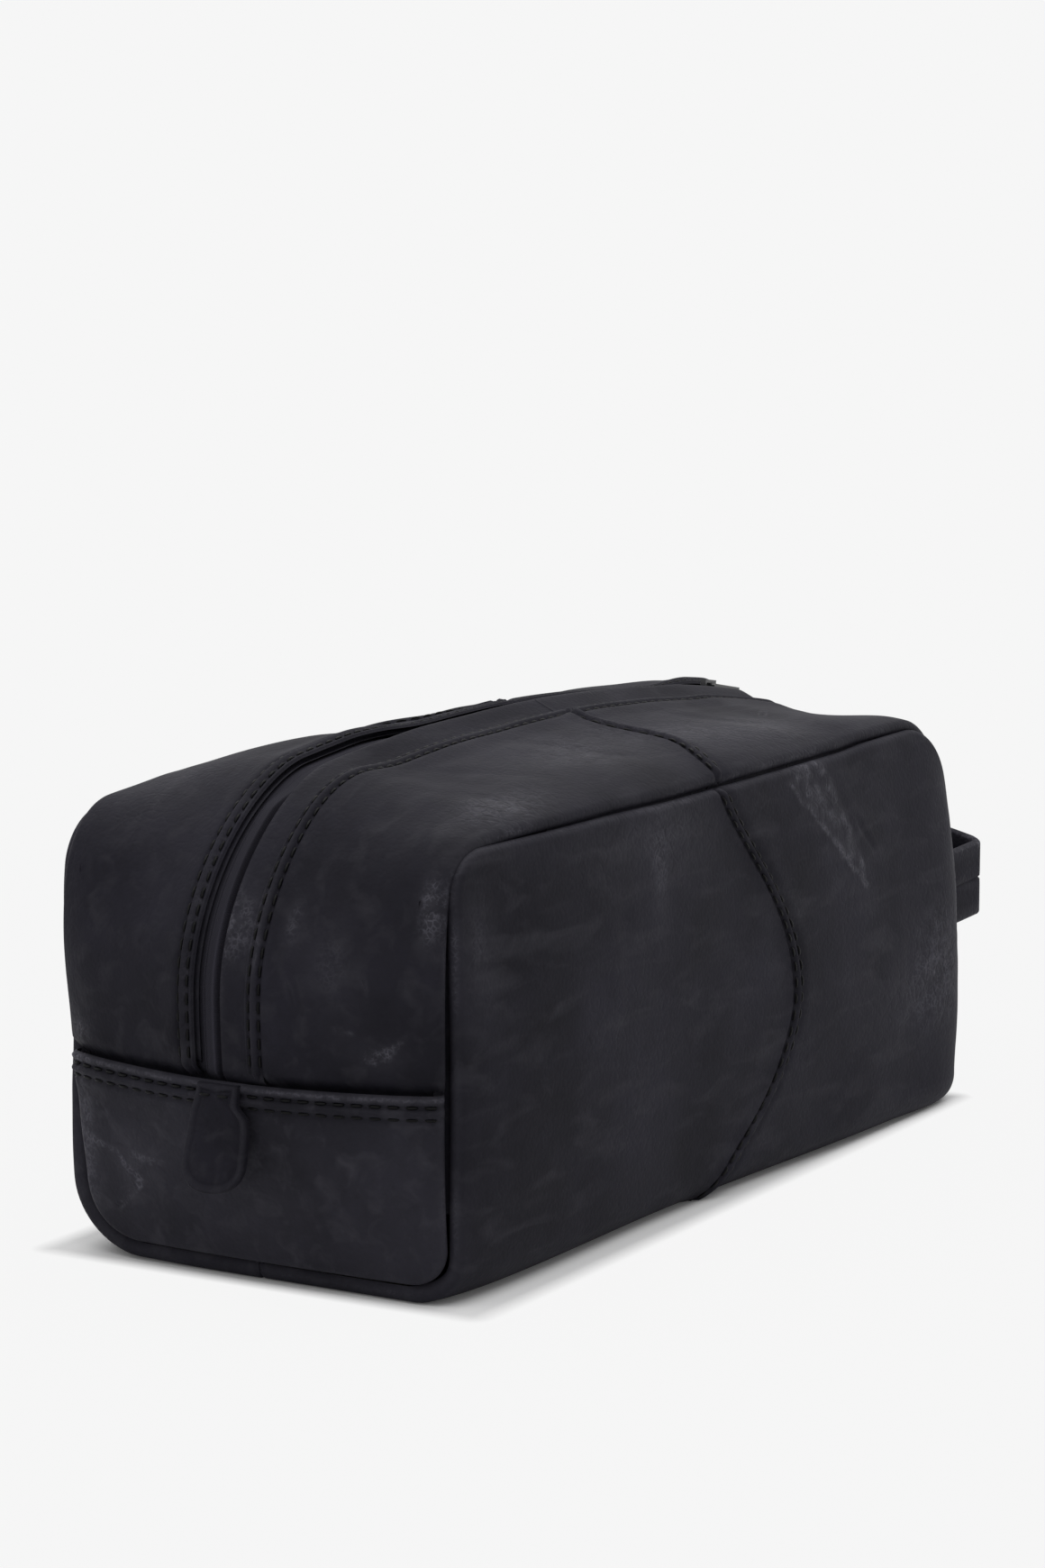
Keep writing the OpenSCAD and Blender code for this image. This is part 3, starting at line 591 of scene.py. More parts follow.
# Creases on the leather: start and end in mm, width, depth
SIDE_CREASES = (
    ((-72, -58, 99), (-66, -60, 78), 2.2, 0.35), ((-58, -60, 84), (-55, -62, 60), 5.0, 0.5),
    ((52, -59, 101), (78, -60, 70), 1.3, 0.4), ((64, -59, 102), (88, -59, 78), 1.2, 0.3),
    ((76, -60, 56), (98, -60, 48), 2.0, 0.3), ((-20, -63, 40), (-6, -64, 22), 2.5, 0.4),
    ((-118, -54, 92), (-112, -55, 74), 1.6, 0.25), ((84, -62, 22), (112, -60, 44), 5.0, 0.25),
    ((-96, -58, 30), (-80, -60, 12), 3.0, 0.3), ((20, -63, 14), (46, -64, 30), 3.0, 0.25),
)
END_CREASES = (
    ((-128.7, 43.2, 29), (-131, 34.8, 27), 0.9, 0.4),
    ((-131, 35.5, 27.3), (-131, 28, 20), 0.9, 0.5),
    ((-131, 28, 20.5), (-128, 37, 11.8), 0.9, 0.45), ((-131, 41, 38), (-131, 29, 33), 1.0, 0.3),
    ((-130, 42, 22), (-131, 33, 21), 0.8, 0.3), ((-131, 30, 29), (-134, 20, 26), 0.9, 0.35),
    ((-130, 38, 17), (-131, 33, 24), 0.8, 0.3), ((-134, 12, 10), (-133, -4, 7), 3.5, 0.35),
    ((-136, -14, 30), (-132, -38, 22), 5.0, 0.4), ((-137, 12, 12), (-135, 11, 3), 1.4, 0.3),
)
TOP_CREASES = (
    ((-139, -12.8, 81), (-138, -17, 69), 0.8, 0.35), ((-137, -22, 89), (-136, -27.5, 74), 0.8, 0.4),
    ((-135.5, -29.5, 86), (-134, -31, 78), 0.9, 0.3),
    ((-136, -27, 63.2), (-134, -33, 63.2), 0.7, 0.5),
    ((-133.6, -34, 57), (-129.6, -45, 62), 0.8, 0.6),
    ((-129.6, -45, 62), (-126, -50.5, 65), 0.7, 0.35),
    ((-133.7, -34.5, 76), (-132.8, -37, 69), 0.8, 0.3),
    ((-138, -17.5, 96), (-139, -16, 84), 1.2, 0.3),
    ((-128, 40, 98), (-134, 15, 97), 1.0, 0.35), ((-138, -8, 92), (-139, -9, 74), 1.2, 0.3),
    ((-133, -42, 92), (-128, -47, 82), 2.4, 0.4), ((-100, -22, 112), (-86, -46, 110), 5.0, 0.2),
    ((-80, -16, 118), (-60, -40, 113), 5.0, 0.15), ((-40, -14, 121), (-22, -44, 113), 5.0, 0.2),
    ((-112, 22, 108), (-92, 44, 108), 4.0, 0.25), ((-60, 20, 120), (-40, 42, 114), 4.0, 0.25),
    ((28, -14, 120), (52, -40, 112), 5.0, 0.18), ((64, -30, 114), (76, -24, 113), 1.4, 0.3),
    ((40, 18, 119), (66, 40, 112), 4.0, 0.25), ((136, -20, 84), (138, -14, 64), 3.0, 0.4),
    ((136, 22, 84), (137, 12, 66), 2.4, 0.35), ((130, -44, 62), (133, -32, 80), 2.4, 0.35),
)


def unevenness(g, creases, seed):
    """Soft wrinkles of stuffed leather: three sizes of noise, stretched a little along the
    bag, and the creases given."""
    tall = mm("wrinkle")
    q = g * np.array([0.8, 1.0, 1.0])
    h = tall * (0.62 * noise(q, 31.0, seed) + 0.24 * noise(q, 11.0, seed + 1))
    ridged = 1 - 2 * np.abs(noise(q * np.array([1.0, 1.5, 1.2]), 6.5, seed + 2))
    patch = ease(noise(q, 40.0, seed + 3) + 0.35)
    h += tall * 0.075 * ridged * patch
    for a, b, width, depth in creases:
        h += crease(g, a, b, width, depth)
    return h


def mirrored(creases):
    """The creases seen on the other side, moved a little so that both sides differ."""
    return tuple(
        ((a[0] * 0.9 + 7, -a[1], a[2] - 4), (b[0] * 0.93 + 9, -b[1], b[2] - 2), w * 1.2, d)
        for a, b, w, d in creases)


def pale_wear_and_sheen(g, rim, spots, creases=()):
    """How pale the leather is worn, 0 to 1: along its edges, beside its sharper creases and in
    the given round spots, each a centre, its three radii and its strength."""
    # Pale line along the rolled edges: partly edge wear, partly painted highlight
    w = 0.35 * np.exp(-((rim - 1.6) / 1.1) ** 2) * (0.5 + 0.5 * noise(g, 9.0, 31))
    for centre, radii, strength in spots:
        q = (g - np.array(centre)) / np.array(radii)
        w = w + strength * np.exp(-np.sum(q * q, axis=-1))
    # Pale lines on the ridges beside the sharper creases: partly wear, partly painted highlight
    for a, b, width, depth in creases:
        if width < 1.5:
            d, fade = crease_reach(g, a, b)
            w = w + 0.7 * depth * fade * np.exp(-((d - 0.8 * width) / 0.4) ** 2)
    return np.clip(w + 0.10 * noise(g, 17.0, 33) + 0.05, 0, 1)


# Paler spots, mostly rubbed wear, with some painted highlights marked below: centre and three radii
# in mm, strength
SIDE_SPOTS = (
    ((-40, -60, 84), (4, 30, 12), 0.28), ((-116, -56, 84), (6, 30, 16), 0.25),
    # The first spot below, at (128, -54, 50), is painted sheen down the lit rear edge
    ((128, -54, 50), (6, 30, 44), 0.75), ((108, -58, 40), (16, 30, 22), 0.3),
    ((-40, -60, 96), (34, 30, 10), 0.25), ((88, -60, 34), (26, 30, 18), 0.2),
)
TOP_SPOTS = (
    ((-20, -30, 118), (48, 16, 20), 0.4), ((-92, -44, 108), (18, 8, 12), 0.55),
    # Front shoulder corners: (-138, -16, 89) is a rubbed place with painted glints, and (-128, -47,
    # 92) is a painted highlight
    ((-138, -16, 89), (6, 2.6, 7), 0.8), ((-128, -47, 92), (10, 2.6, 8), 0.8),
    ((-137, -6, 88), (6, 3.0, 12), 0.5), ((-136, -26, 80), (6, 7, 12), 0.35),
    ((-135, -38, 58), (6, 6, 3), 0.45), ((40, -40, 112), (30, 14, 20), 0.35),
    ((-128, 45, 55), (10, 6, 6), 0.5), ((30, 35, 114), (60, 16, 20), 0.3),
    ((-100, 36, 108), (26, 12, 12), 0.25), ((100, -40, 106), (24, 12, 16), 0.3),
)
END_SPOTS = (
    ((-129, 46, 30), (8, 5, 22), 0.5), ((-133, 30, 22), (10, 8, 10), 0.25),
    ((-137, -10, 20), (10, 20, 12), 0.12),
)


def scar(g):
    """The pale flaky patch on the right side's rear leather: a slanting strip, ragged by
    noise and crossed by finer flakes."""
    a, b = np.array([25.0, 100.0]), np.array([68.0, 66.0])
    way = (b - a) / np.linalg.norm(b - a)
    q = g[..., [0, 2]] - a
    t, off = q @ way, q @ np.array([-way[1], way[0]])
    reach = np.linalg.norm(b - a)
    width = 19.0 * np.clip(1 - t / reach, 0, 1) ** 0.6 + 0.6
    ragged = off + 0.5 * noise(g, 4.0, 41) + 0.4 * noise(g, 1.8, 42)
    inside = ease((t + 1) / 4) * ease((reach + 2 - t) / 6) * ease(ragged + 0.5)
    inside = inside * ease((width - ragged) / 1.6)
    edge = np.exp(-((ragged - 0.6) / 0.8) ** 2)
    return inside * (g[..., 1] < 0) * np.clip(0.45 + 0.5 * edge + 0.5 * noise(g, 2.4, 43), 0, 1)


def side_wrap(z, s, side):
    """Share, 0 to 1, by which a side leather turns round onto the end at height z: all of it
    along the foot, and up the front left corner nearly to the panel's top."""
    foot = 1 - ease((z + 2) / 10)
    return np.maximum(foot, 1 - ease((z - 38) / 16)) if (s, side) == (FRONT, LEFT) else foot


def side_leather(s, side):
    """One of a side's two leathers, from its end seam to the curved seam, with its half of
    the base. The front one laps over the rear one."""
    lift = mm("lift")
    v = side_rows()[:, None]
    z = side_level(np.full_like(v, s * 60.0), v, side)
    joint = wave(z)
    end = s * side_reach(s, z, side)
    start = joint if s == FRONT else joint - LAP
    x = places(end[:, 0], start[:, 0], 96 if s == FRONT else 74)
    vv = np.broadcast_to(v, x.shape)
    g = side_surface(x, vv, side)
    rim = side_rim(x, np.broadcast_to(z, x.shape), s, side)
    foot = along(g, 0)
    foot = foot[-1:] - foot
    seam = np.abs(x - np.broadcast_to(joint, x.shape))
    wrap = side_wrap(g[..., 2], s, side)
    fall, back = puffed(rim, mm("groove") * (1 - wrap) + WRAP * wrap)
    back += GAP * (1 - ease(rim / 4)) - AHEAD * wrap * (1 - ease((rim - LEAD * WRAP) / 9))
    calm = ease(rim / 12) * ease(foot / 10)
    creases = SIDE_CREASES if side == RIGHT else mirrored(SIDE_CREASES)
    bumps = unevenness(g, creases, 3 if side == RIGHT else 8)
    h = bumps * (0.25 + 0.75 * calm) * ease((g[..., 2] - 1) / 14) - fall - roll(foot, 0.9)
    if s == FRONT:
        h += lift * ease(1 - seam / 10) - roll(seam, 0.9) - valleys(seam, mm("valley"))
    else:
        past = s * (x - joint)
        h -= lift * (1 - ease((past + 0.5) / 5))
    name = f"side_{side_name(side)}_{end_name(s)}"
    mark = pale_wear_and_sheen(g, rim, SIDE_SPOTS if side == RIGHT else ())
    if side == RIGHT and s == REAR:
        mark = np.clip(mark + 0.62 * scar(g), 0, 1)
        h += 0.18 * scar(g)
    piece = shell(name + "_leather", g, h, mm("leather"), leather("side"), mark, None,
                  -downhill(g, rim) * back[..., None])
    return settle(piece, ["bag"], [name])


def surface_row(f, a, b, height=0.0):
    """Points and outward normals along a line on a surface f(a, b)."""
    e = 0.02
    p = f(a, b)
    n = np.cross(f(a + e, b) - f(a - e, b), f(a, b + e / 20) - f(a, b - e / 20))
    n /= np.maximum(np.linalg.norm(n, axis=-1, keepdims=True), 1e-12)
    n *= outward(p, n)
    return p + n * height, n


def side_stitches(side):
    """The twin rows beside the curved seam of a side, and on under the base."""
    rows = []
    v = np.linspace(0.02, 2.9, 400)
    z = side_level(np.full_like(v, 20.0), v, side)
    for inset in ROWS:
        x = wave(z) - inset
        height = mm("lift") - SUNK
        p, n = surface_row(lambda a, b: side_surface(a, b, side), x, v, height)
        rows.append(stitch_row(p, n, 1.0))
    name = f"side_{side_name(side)}_stitches"
    return settle(stitches(name, rows, thread()), ["bag"])


# --- End panels ---------------------------------------------------------------------------


def end_surface(s, share, z):
    """Outer surface of an end below its panel's top edge: the seam bowed outwards plus the
    end's swell, full in the middle. share runs -1 to 1 between the panel's own edges."""
    w = panel_half_width(s, share, z)
    y = w * share
    seam = HALF_L + end_bow(s, z)
    middle = HALF_L + END_SWELL * rise(z)
    return np.stack([s * (seam + (middle - seam) * crown(y / HALF_W)), y, z], -1)


def panel_edge(s, side, z):
    """Place across of an end panel's straight edge at height z; it comes in towards the foot."""
    return HALF_W - INSET[s, side] * (0.35 + 0.65 * ease((46 - z) / 26))


def panel_half_width(s, share, z):
    """Half width of an end panel at height z: straight edges, and bottom corners that are
    quarter circles of a radius of their own on each side."""
    out = []
    for side in (RIGHT, LEFT):
        r = PANEL_R[s, side]
        low = np.clip(r + FOOT[s] - z, 0, r)
        out.append(panel_edge(s, side, z) - r + np.sqrt(np.maximum(r * r - low * low, 0)))
    return np.where(share < 0, out[0], out[1])


def panel_rim(s, y, z):
    """Distance from an end panel's side and bottom edges, round its corners."""
    right, left = (from_corner(panel_edge(s, side, z) - side * y, z - FOOT[s], PANEL_R[s, side])
                   for side in (RIGHT, LEFT))
    return np.where(y < 0, right, left)


def end_panel(s):
    """A lower end panel: its sides and foot turned into the seam, and its top edge folded
    over, proud of the shoulders behind it, with twin stitch rows under the fold."""
    low = 17 * (1 - np.cos(np.linspace(0, 1, 34) * np.pi / 2))
    low = FOOT[s] + np.unique(np.round(np.concatenate([low, places(0.0, 17.0, 12)[0]]), 3))
    z = np.concatenate([low, places(low[-1], PANEL_H, 30, (False, True))[0][1:]])[:, None]
    y = places(-HALF_W, HALF_W, 110)
    share = np.broadcast_to(y / HALF_W, (len(z), y.shape[1]))
    zz = np.broadcast_to(z, share.shape)
    g = end_surface(s, share, zz)
    rim = panel_rim(s, g[..., 1], zz)
    top = PANEL_H - zz
    creases = END_CREASES if s == FRONT else mirrored(END_CREASES)
    if s == REAR:
        creases = tuple(((-a[0], -a[1], a[2]), (-b[0], -b[1], b[2]), w, d)
                        for a, b, w, d in creases)
    fall, back = puffed(rim, mm("groove"))
    back += GAP * (1 - ease(rim / 4))
    h = unevenness(g, creases, 15 - s) * (0.2 + 0.8 * ease(rim / 10) * ease((top - 5) / 8))
    h += mm("lift") * ease(1 - (top - 4) / 8) - roll(top, 1.1) - fall
    h += 0.4 * np.exp(-((top - 0.9) / 0.7) ** 2)
    h -= valleys(top, mm("valley"), (2.6, 5.4))
    thick = np.where(top < 6, mm("turned"), mm("leather"))
    mark = pale_wear_and_sheen(g, np.minimum(rim, top), END_SPOTS if s == FRONT else (), creases)
    # Pale line along the folded top edge: partly edge wear, partly painted highlight on the rolled
    # edge
    mark = np.clip(mark + 0.35 * np.exp(-((top - 0.7) / 0.6) ** 2), 0, 1)
    name = f"end_panel_{end_name(s)}"
    piece = shell(name + "_leather", g, h, thick, leather("panel"), mark, None,
                  -downhill(g, rim) * back[..., None])
    settle(piece, ["bag"], [name])
    rows = []
    for top in (2.6, 5.4):
        share = np.linspace(-0.965, 0.965, 160)
        z = np.full_like(share, PANEL_H - top)
        f = lambda a, b: end_surface(s, a / 40, b)
        p, n = surface_row(f, share * 40, z, mm("lift") - SUNK)
        if s == FRONT:
            on_tab = np.abs(p[:, 1] - TAB_Y) < 5.6
            p = p + np.where(on_tab, -3.05, 0)[:, None] * np.array([1.0, 0, 0])
            rows += [stitch_row(p[part], n[part], 0.4) for part in
                     (p[:, 1] < TAB_Y - 5.7, on_tab, p[:, 1] > TAB_Y + 5.7)]
        else:
            rows.append(stitch_row(p, n, 0.5))
    piece = stitches(name + "_stitches", rows, thread())
    return settle(piece, ["bag"])


# --- Seam allowances ----------------------------------------------------------------------


ALLOWANCE_T = 0.7         # thickness of the strips of turned-in edge
# Across and up: a side strip's foot and head, from the seam's line on the side's top edge
ALLOWANCE_FOOT, ALLOWANCE_HEAD = (-3.0, -3.4), (-3.4, 0.2)
# Lengths of the side strips; the outer ones lie where the top bends
ALLOWANCE_X = {"front": (-84, -18), "middle": (-18, 33), "rear": (33, 99)}
CORNER_Z = (21, 93)       # heights that the strips in the upright seams run between


def seam_allowance(side, part):
    """The turned-in edges that join a side leather to the top inside the seam's groove: a
    narrow strip that stays on the side at its foot and bends with the mouth at its head. Over
    a stretch where the top itself bends, the head bends by the top's share at each place.
    The bend's direction d has x share 1 / (stretch's length) and z share 1 / (strip's
    height), and its end lies at start + d / |d|^2."""
    x, v = np.meshgrid(np.linspace(*ALLOWANCE_X[part], 60), np.linspace(0, 1, 9), indexing="ij")
    foot = seam_y(x) + ALLOWANCE_FOOT[0], SEAM_H + ALLOWANCE_FOOT[1]
    head = seam_y(x) + ALLOWANCE_HEAD[0], SEAM_H + ALLOWANCE_HEAD[1]
    y, z = (foot[k] + (head[k] - foot[k]) * v for k in range(2))
    g = np.stack([x, side * y, z], -1)
    piece = shell(f"seam_allowance_{side_name(side)}_{part}", g, 0 * v, ALLOWANCE_T,
                  leather("side"), 0 * v)
    # The slumped heights of the strip's foot and of the line near its head, half way along
    start, high = slump(g[[30], 0])[0], slump(g[[30], 7])[0]
    turn = np.array([0, 0, 1 / (high[2] - start[2])])
    if part != "middle":
        first, last = BEND[FRONT if part == "front" else REAR]
        turn[0] = 1 / (last - first)
        start = np.array([first, 0, high[2]])
    return settle(piece, ("bag", "mouth_" + side_name(side)))


def corner_allowance(s, side):
    """The turned-in edges inside the upright seam of an end: a strip behind the groove, from
    the side leather across to the end's leather."""
    z, v = np.meshgrid(np.linspace(*CORNER_Z, 60), np.linspace(0, 1, 9), indexing="ij")
    x = HALF_L + end_bow(s, z) - 6.5 + 8.5 * v
    g = np.stack([s * x, side * (HALF_W - 1.8 - 5.6 * v), z], -1)
    piece = shell(f"corner_allowance_{side_name(side)}_{end_name(s)}", g, 0 * v, ALLOWANCE_T,
                  leather("side"), 0 * v)
    return settle(piece, ["bag"])


# --- Top leathers -------------------------------------------------------------------------


def resampled(points, count=500):
    """A path's points set evenly along its length."""
    run = path_run(points)
    t = np.linspace(0, run[-1], count)
    return np.stack([np.interp(t, run, points[:, k]) for k in range(2)], -1)


def seam_path(s, side):
    """The side seam from behind the end panel up, round its corner and along to the mouth,
    as (outward x, z)."""
    r, t = SEAM_R[s, side], np.linspace(0, 1, 120)
    z = PANEL_H - TUCK + (SEAM_H - r - PANEL_H + TUCK) * t
    up = np.stack([HALF_L + end_bow(s, z), z], -1)
    h = SEAM_H - r + r * np.sin(t * np.pi / 2)
    turn = np.stack([HALF_L + end_bow(s, h) - r + r * np.cos(t * np.pi / 2), h], -1)
    flat = np.stack([turn[-1, 0] + (MOUTH[s] - turn[-1, 0]) * t, np.full_like(t, SEAM_H)], -1)
    return resampled(np.concatenate([up, turn[1:], flat[1:]]))


def zip_path(s):
    """The zip's line up the end, round the shoulder as a cubic curve and over the arch, as
    (outward x, z)."""
    t = np.linspace(0, 1, 120)
    z = PANEL_H - TUCK + (SHOULDER_Z - PANEL_H + TUCK) * t
    up = np.stack([HALF_L + END_SWELL * rise(z), z], -1)
    a = np.array([HALF_L + END_SWELL, SHOULDER_Z])
    far = ARCH_FROM[s]
    d = np.array([far, arch(s * far)])
    way = np.array([ARCH_H - ARCH_R - d[1], -(s * ARCH_X - far)]) / -ARCH_R
    b = np.array([a[0], a[1] + (d[1] - a[1]) / 2])
    c = d + 0.46 * (a[0] - d[0]) * way
    u = t[:, None]
    curve = (1 - u) ** 3 * a + 3 * (1 - u) ** 2 * u * b + 3 * (1 - u) * u * u * c + u ** 3 * d
    x = far + (MOUTH[s] - far) * t
    over = np.stack([x, arch(s * x)], -1)
    return resampled(np.concatenate([up, curve[1:], over[1:]]))


PATHS = {(s, side): (seam_path(s, side), zip_path(s))
         for s in (FRONT, REAR) for side in (RIGHT, LEFT)}


def top_surface(s, t, y, stop, side=RIGHT, flat=False):
    """Outer surface of the top: t runs 0 to 1 from behind the end panel to the mouth's end,
    and 1 to 2 on to the outward place stop. Across, it lifts from the side seam's line to the
    zip's line by crown(y / half width). flat keeps it on the zip's line."""
    share = np.linspace(0, 1, len(PATHS[s, side][0]))
    u = np.clip(t, 0, 1)
    p, q = (np.stack([np.interp(u, share, path[:, k]) for k in range(2)], -1)
            for path in PATHS[s, side])
    x = MOUTH[s] + (stop - MOUTH[s]) * np.clip(t - 1, 0, 1)
    over = t > 1
    p = np.where(over[..., None], np.stack([x, np.full_like(x, SEAM_H)], -1), p)
    q = np.where(over[..., None], np.stack([x, arch(s * x)], -1), q)
    f = 1 if flat else crown(y / seam_y(p[..., 0]))[..., None]
    m = p + (q - p) * f
    return np.stack([s * m[..., 0], y, m[..., 1]], -1)


def top_rows(s, ends=(True, True)):
    """Rows of a top piece's grid, as places along t, about even in length."""
    low = places(0.0, 60.0, 90, (ends[0], False))[0] / 60.0
    over = 1 + places(0.0, MOUTH[s], 80, (False, ends[1]))[0] / MOUTH[s]
    return np.concatenate([low, over[1:]])


def top_leather(s, side):
    """A top leather in one piece, from behind the end panel round the shoulder to the curved
    seam: the right one laps over the zip's band, and the left one is folded at the zip."""
    lift = mm("lift")
    t = top_rows(s)[:, None]
    inner_edge = BAND_EDGE if side == RIGHT else SLOT_LEFT
    path = PATHS[s, side][0]
    px = np.interp(np.clip(t[:, 0], 0, 1), np.linspace(0, 1, len(path)), path[:, 0])
    px = np.where(t[:, 0] > 1, MOUTH[s] * (2 - t[:, 0]), px)
    y = places(side * seam_y(px), np.full(len(t), inner_edge), 76)
    tt = np.broadcast_to(t, y.shape)
    joint = top_wave(y)
    stop = s * joint - (LAP if s == REAR else 0)
    g = top_surface(s, tt, y, stop, side)
    across = along(g, 1)
    outer, inner = across, across[:, -1:] - across
    past = np.abs(g[..., 0] - joint)
    tucked = (1 - ease((g[..., 2] - PANEL_H + 1.0) / 4.5)) * (tt < 0.6)
    fall, back = puffed(outer, mm("groove"))
    back += GAP * (1 - ease(outer / 4))
    calm = ease(outer / 10) * ease((inner - 4) / 9)
    h = unevenness(g, TOP_CREASES, 21 + s) * (0.2 + 0.8 * calm) - fall - 2.9 * tucked
    rows = TOP_ROWS[side]
    raised = lift * ease(1 - (inner - 4) / 7) if side == RIGHT else 0.6 * ease(1 - (inner - 4) / 6)
    h += raised - roll(inner, 0.9 if side == RIGHT else 1.15)
    h -= valleys(inner, mm("valley"), rows)
    # The lap's step fades out at the zip's edge
    free = ease((inner - 0.5) / 5) * (tt > 1)
    if s == FRONT:
        h += (lift * ease(1 - past / 10) - valleys(past, mm("valley"))) * free
        h -= roll(past, 0.9) * free
    else:
        beyond = g[..., 0] - joint
        h -= lift * (1 - ease((beyond + 0.5) / 5)) * (0.25 + 0.75 * free) * (tt > 1)
    thick = np.full(h.shape, mm("leather"))
    if side == LEFT:
        thick = np.where(inner < 6.5, mm("turned"), thick)
    mark = pale_wear_and_sheen(g, np.minimum(outer, inner), TOP_SPOTS, TOP_CREASES)
    name = f"{side_name(side)}_{end_name(s)}"
    piece = shell(f"top_{name}_leather", g, h, thick, leather("top"), mark, None,
                  -downhill(g, outer) * back[..., None])
    bodies, bend = mouth_bend(s, side)
    settle(piece, bodies, [f"shoulder_{name}", f"mouth_{name}"])

    lines = []
    tt = np.concatenate([np.linspace(0.075, 1, 200), np.linspace(1.005, 1.97, 200)])
    for row in rows:
        y = np.full_like(tt, inner_edge + side * row)
        f = lambda a, b: top_surface(s, b, a, s * top_wave(a * 0 + inner_edge), side)
        p, n = surface_row(f, y, tt, (lift if side == RIGHT else 0.6) - SUNK)
        lines.append(stitch_row(p, n, 0.5))
    if s == FRONT:
        y = np.linspace(side * (seam_y(0.0) - 2.6), inner_edge + side * 1.5, 120)
        for row in ROWS:
            x = top_wave(y) - row
            f = lambda a, b: top_surface(s, np.full_like(a, 2.0), b, -a, side)
            p, n = surface_row(f, x, y, lift - SUNK)
            lines.append(stitch_row(p, n, 0.5))
    piece = stitches(f"top_{name}_stitches", lines, thread())
    settle(piece, bodies)


def zip_strip(name, s, y, dip, thick, material, arch_dip=None):
    """A strip on the zip's line: y are its places across, and dip is how far each of them
    lies below the leather's surface. Over the arch, where the slider runs, it is arch_dip."""
    t = top_rows(s, (False, False))[:, None]
    yy = np.broadcast_to(y[None, :], (len(t), len(y)))
    tt = np.broadcast_to(t, yy.shape)
    g = top_surface(s, tt, yy, 0.0, flat=True)
    tucked = (1 - ease((g[..., 2] - PANEL_H + 1.5) / 3.5)) * (tt < 0.6)
    uv = np.stack([yy, along(g, 0)], -1) * MM
    if material.name.startswith("woven"):
        # A painted highlight along the strip's right edge, where it catches the light, less and
        # less above the shoulder
        fold = np.exp(-((yy - STRIP[0] - 0.75) / 0.4) ** 2)
        mark = 0.5 * fold * (1 - ease((g[..., 2] - 75) / 25))
    else:
        mark = pale_wear_and_sheen(g, np.broadcast_to(np.minimum(y - y[0], y[-1] - y) + 0.8, yy.shape),
                    (((-138, -2, 86), (8, 6, 9), 0.7),))
    if arch_dip is not None:
        dip = dip + (arch_dip - dip) * ease((g[..., 2] - ARCH_DIP_Z) / 7)
    return shell(name, g, -dip - 2.0 * tucked, thick, material, mark, uv)


def zip_band(s):
    """The leather band on the right of the zip: folded at the zip, and running on under the
    top leather at its other edge."""
    y = places(BAND_EDGE - 4.2, SLOT_RIGHT, 16, (False, True))[0]
    piece = zip_strip(f"zip_band_{end_name(s)}_leather", s, y, roll(SLOT_RIGHT - y, 1.15),
                      mm("turned"), leather("band"))
    bodies, bend = mouth_bend(s, RIGHT)
    nodes = ["zip_band_" + end_name(s)] + (["zip_band_mouth"] if s == FRONT else [])
    settle(piece, bodies, nodes)


# The nodes of the tape and of the coil that each quarter of the zip stands for
ZIP_NODES = {(FRONT, RIGHT): ["right"], (REAR, RIGHT): ["rear"], (FRONT, LEFT): ["left", "front"],
             (REAR, LEFT): []}


def zip_tape(s, side):
    """One half of the zip's woven tape: closed, the two stand up as one leaning strip between
    the leather edges, with a gap on each side, and dip to run on under the leather."""
    near = ZIP_Y + side * 0.04
    far = SLOT_LEFT + 4.6 if side == LEFT else BAND_EDGE - 2.0
    reach = np.concatenate([np.linspace(0, 4.4, 30), np.linspace(4.8, abs(far - near), 10)])
    y = near + side * reach
    up = ease((y - STRIP[0]) / 0.9) * ease((STRIP[1] - y) / 0.9)
    lean = 0.35 + 0.17 * np.clip(y - STRIP[0], 0, 4)
    low = TAPE_DEPTH + roll(reach, 0.18)
    dip = low - (TAPE_DEPTH - lean) * up
    order = np.argsort(y)
    name = f"zip_tape_{side_name(side)}_{end_name(s)}"
    piece = zip_strip(name, s, y[order], dip[order], 0.6, woven("tape"), low[order])
    bodies, bend = mouth_bend(s, side)
    settle(piece, bodies, ["zip_tape_" + part for part in ZIP_NODES[s, side]])


def zip_coil(s, side):
    """One row of the nylon coil under the tape: an oval bar whose turns stand out as a wave
    along it."""
    t = np.concatenate([np.linspace(0.06, 1, 300), np.linspace(1.004, 2, 240)])
    y = np.full_like(t, ZIP_Y + side * 1.55)
    f = lambda a, b: top_surface(s, b, a, 0.0, flat=True)
    p, n = surface_row(f, y, t, -TAPE_DEPTH - 1.15)
    run = path_run(p)
    at = np.arange(0, run[-1], mm("coil") / 4)
    p, n = (np.stack([np.interp(at, run, v[:, k]) for k in range(3)], -1) for v in (p, n))
    turn = np.arange(10) * np.pi / 5
    beat = 1 - 0.28 * (np.arange(len(at)) % 4 >= 2)
    beat = beat[:, None, None]
    across = np.tile([0.0, 1.0, 0.0], (len(at), 1))
    ring = (p[:, None] + across[:, None] * (COIL_R[0] * np.cos(turn))[None, :, None] * beat
            + n[:, None] * (COIL_R[1] * np.sin(turn))[None, :, None] * beat)
    piece = new_piece(f"zip_coil_{side_name(side)}_{end_name(s)}", slump(ring.reshape(-1, 3)),
                      ring_faces(*ring.shape[:2]), nylon())
    fix_normals(piece)
    bodies, bend = mouth_bend(s, side)
    settle(piece, bodies, ["zip_coil_" + part for part in ZIP_NODES[s, side]])


# --- Grab tab and handle ------------------------------------------------------------------


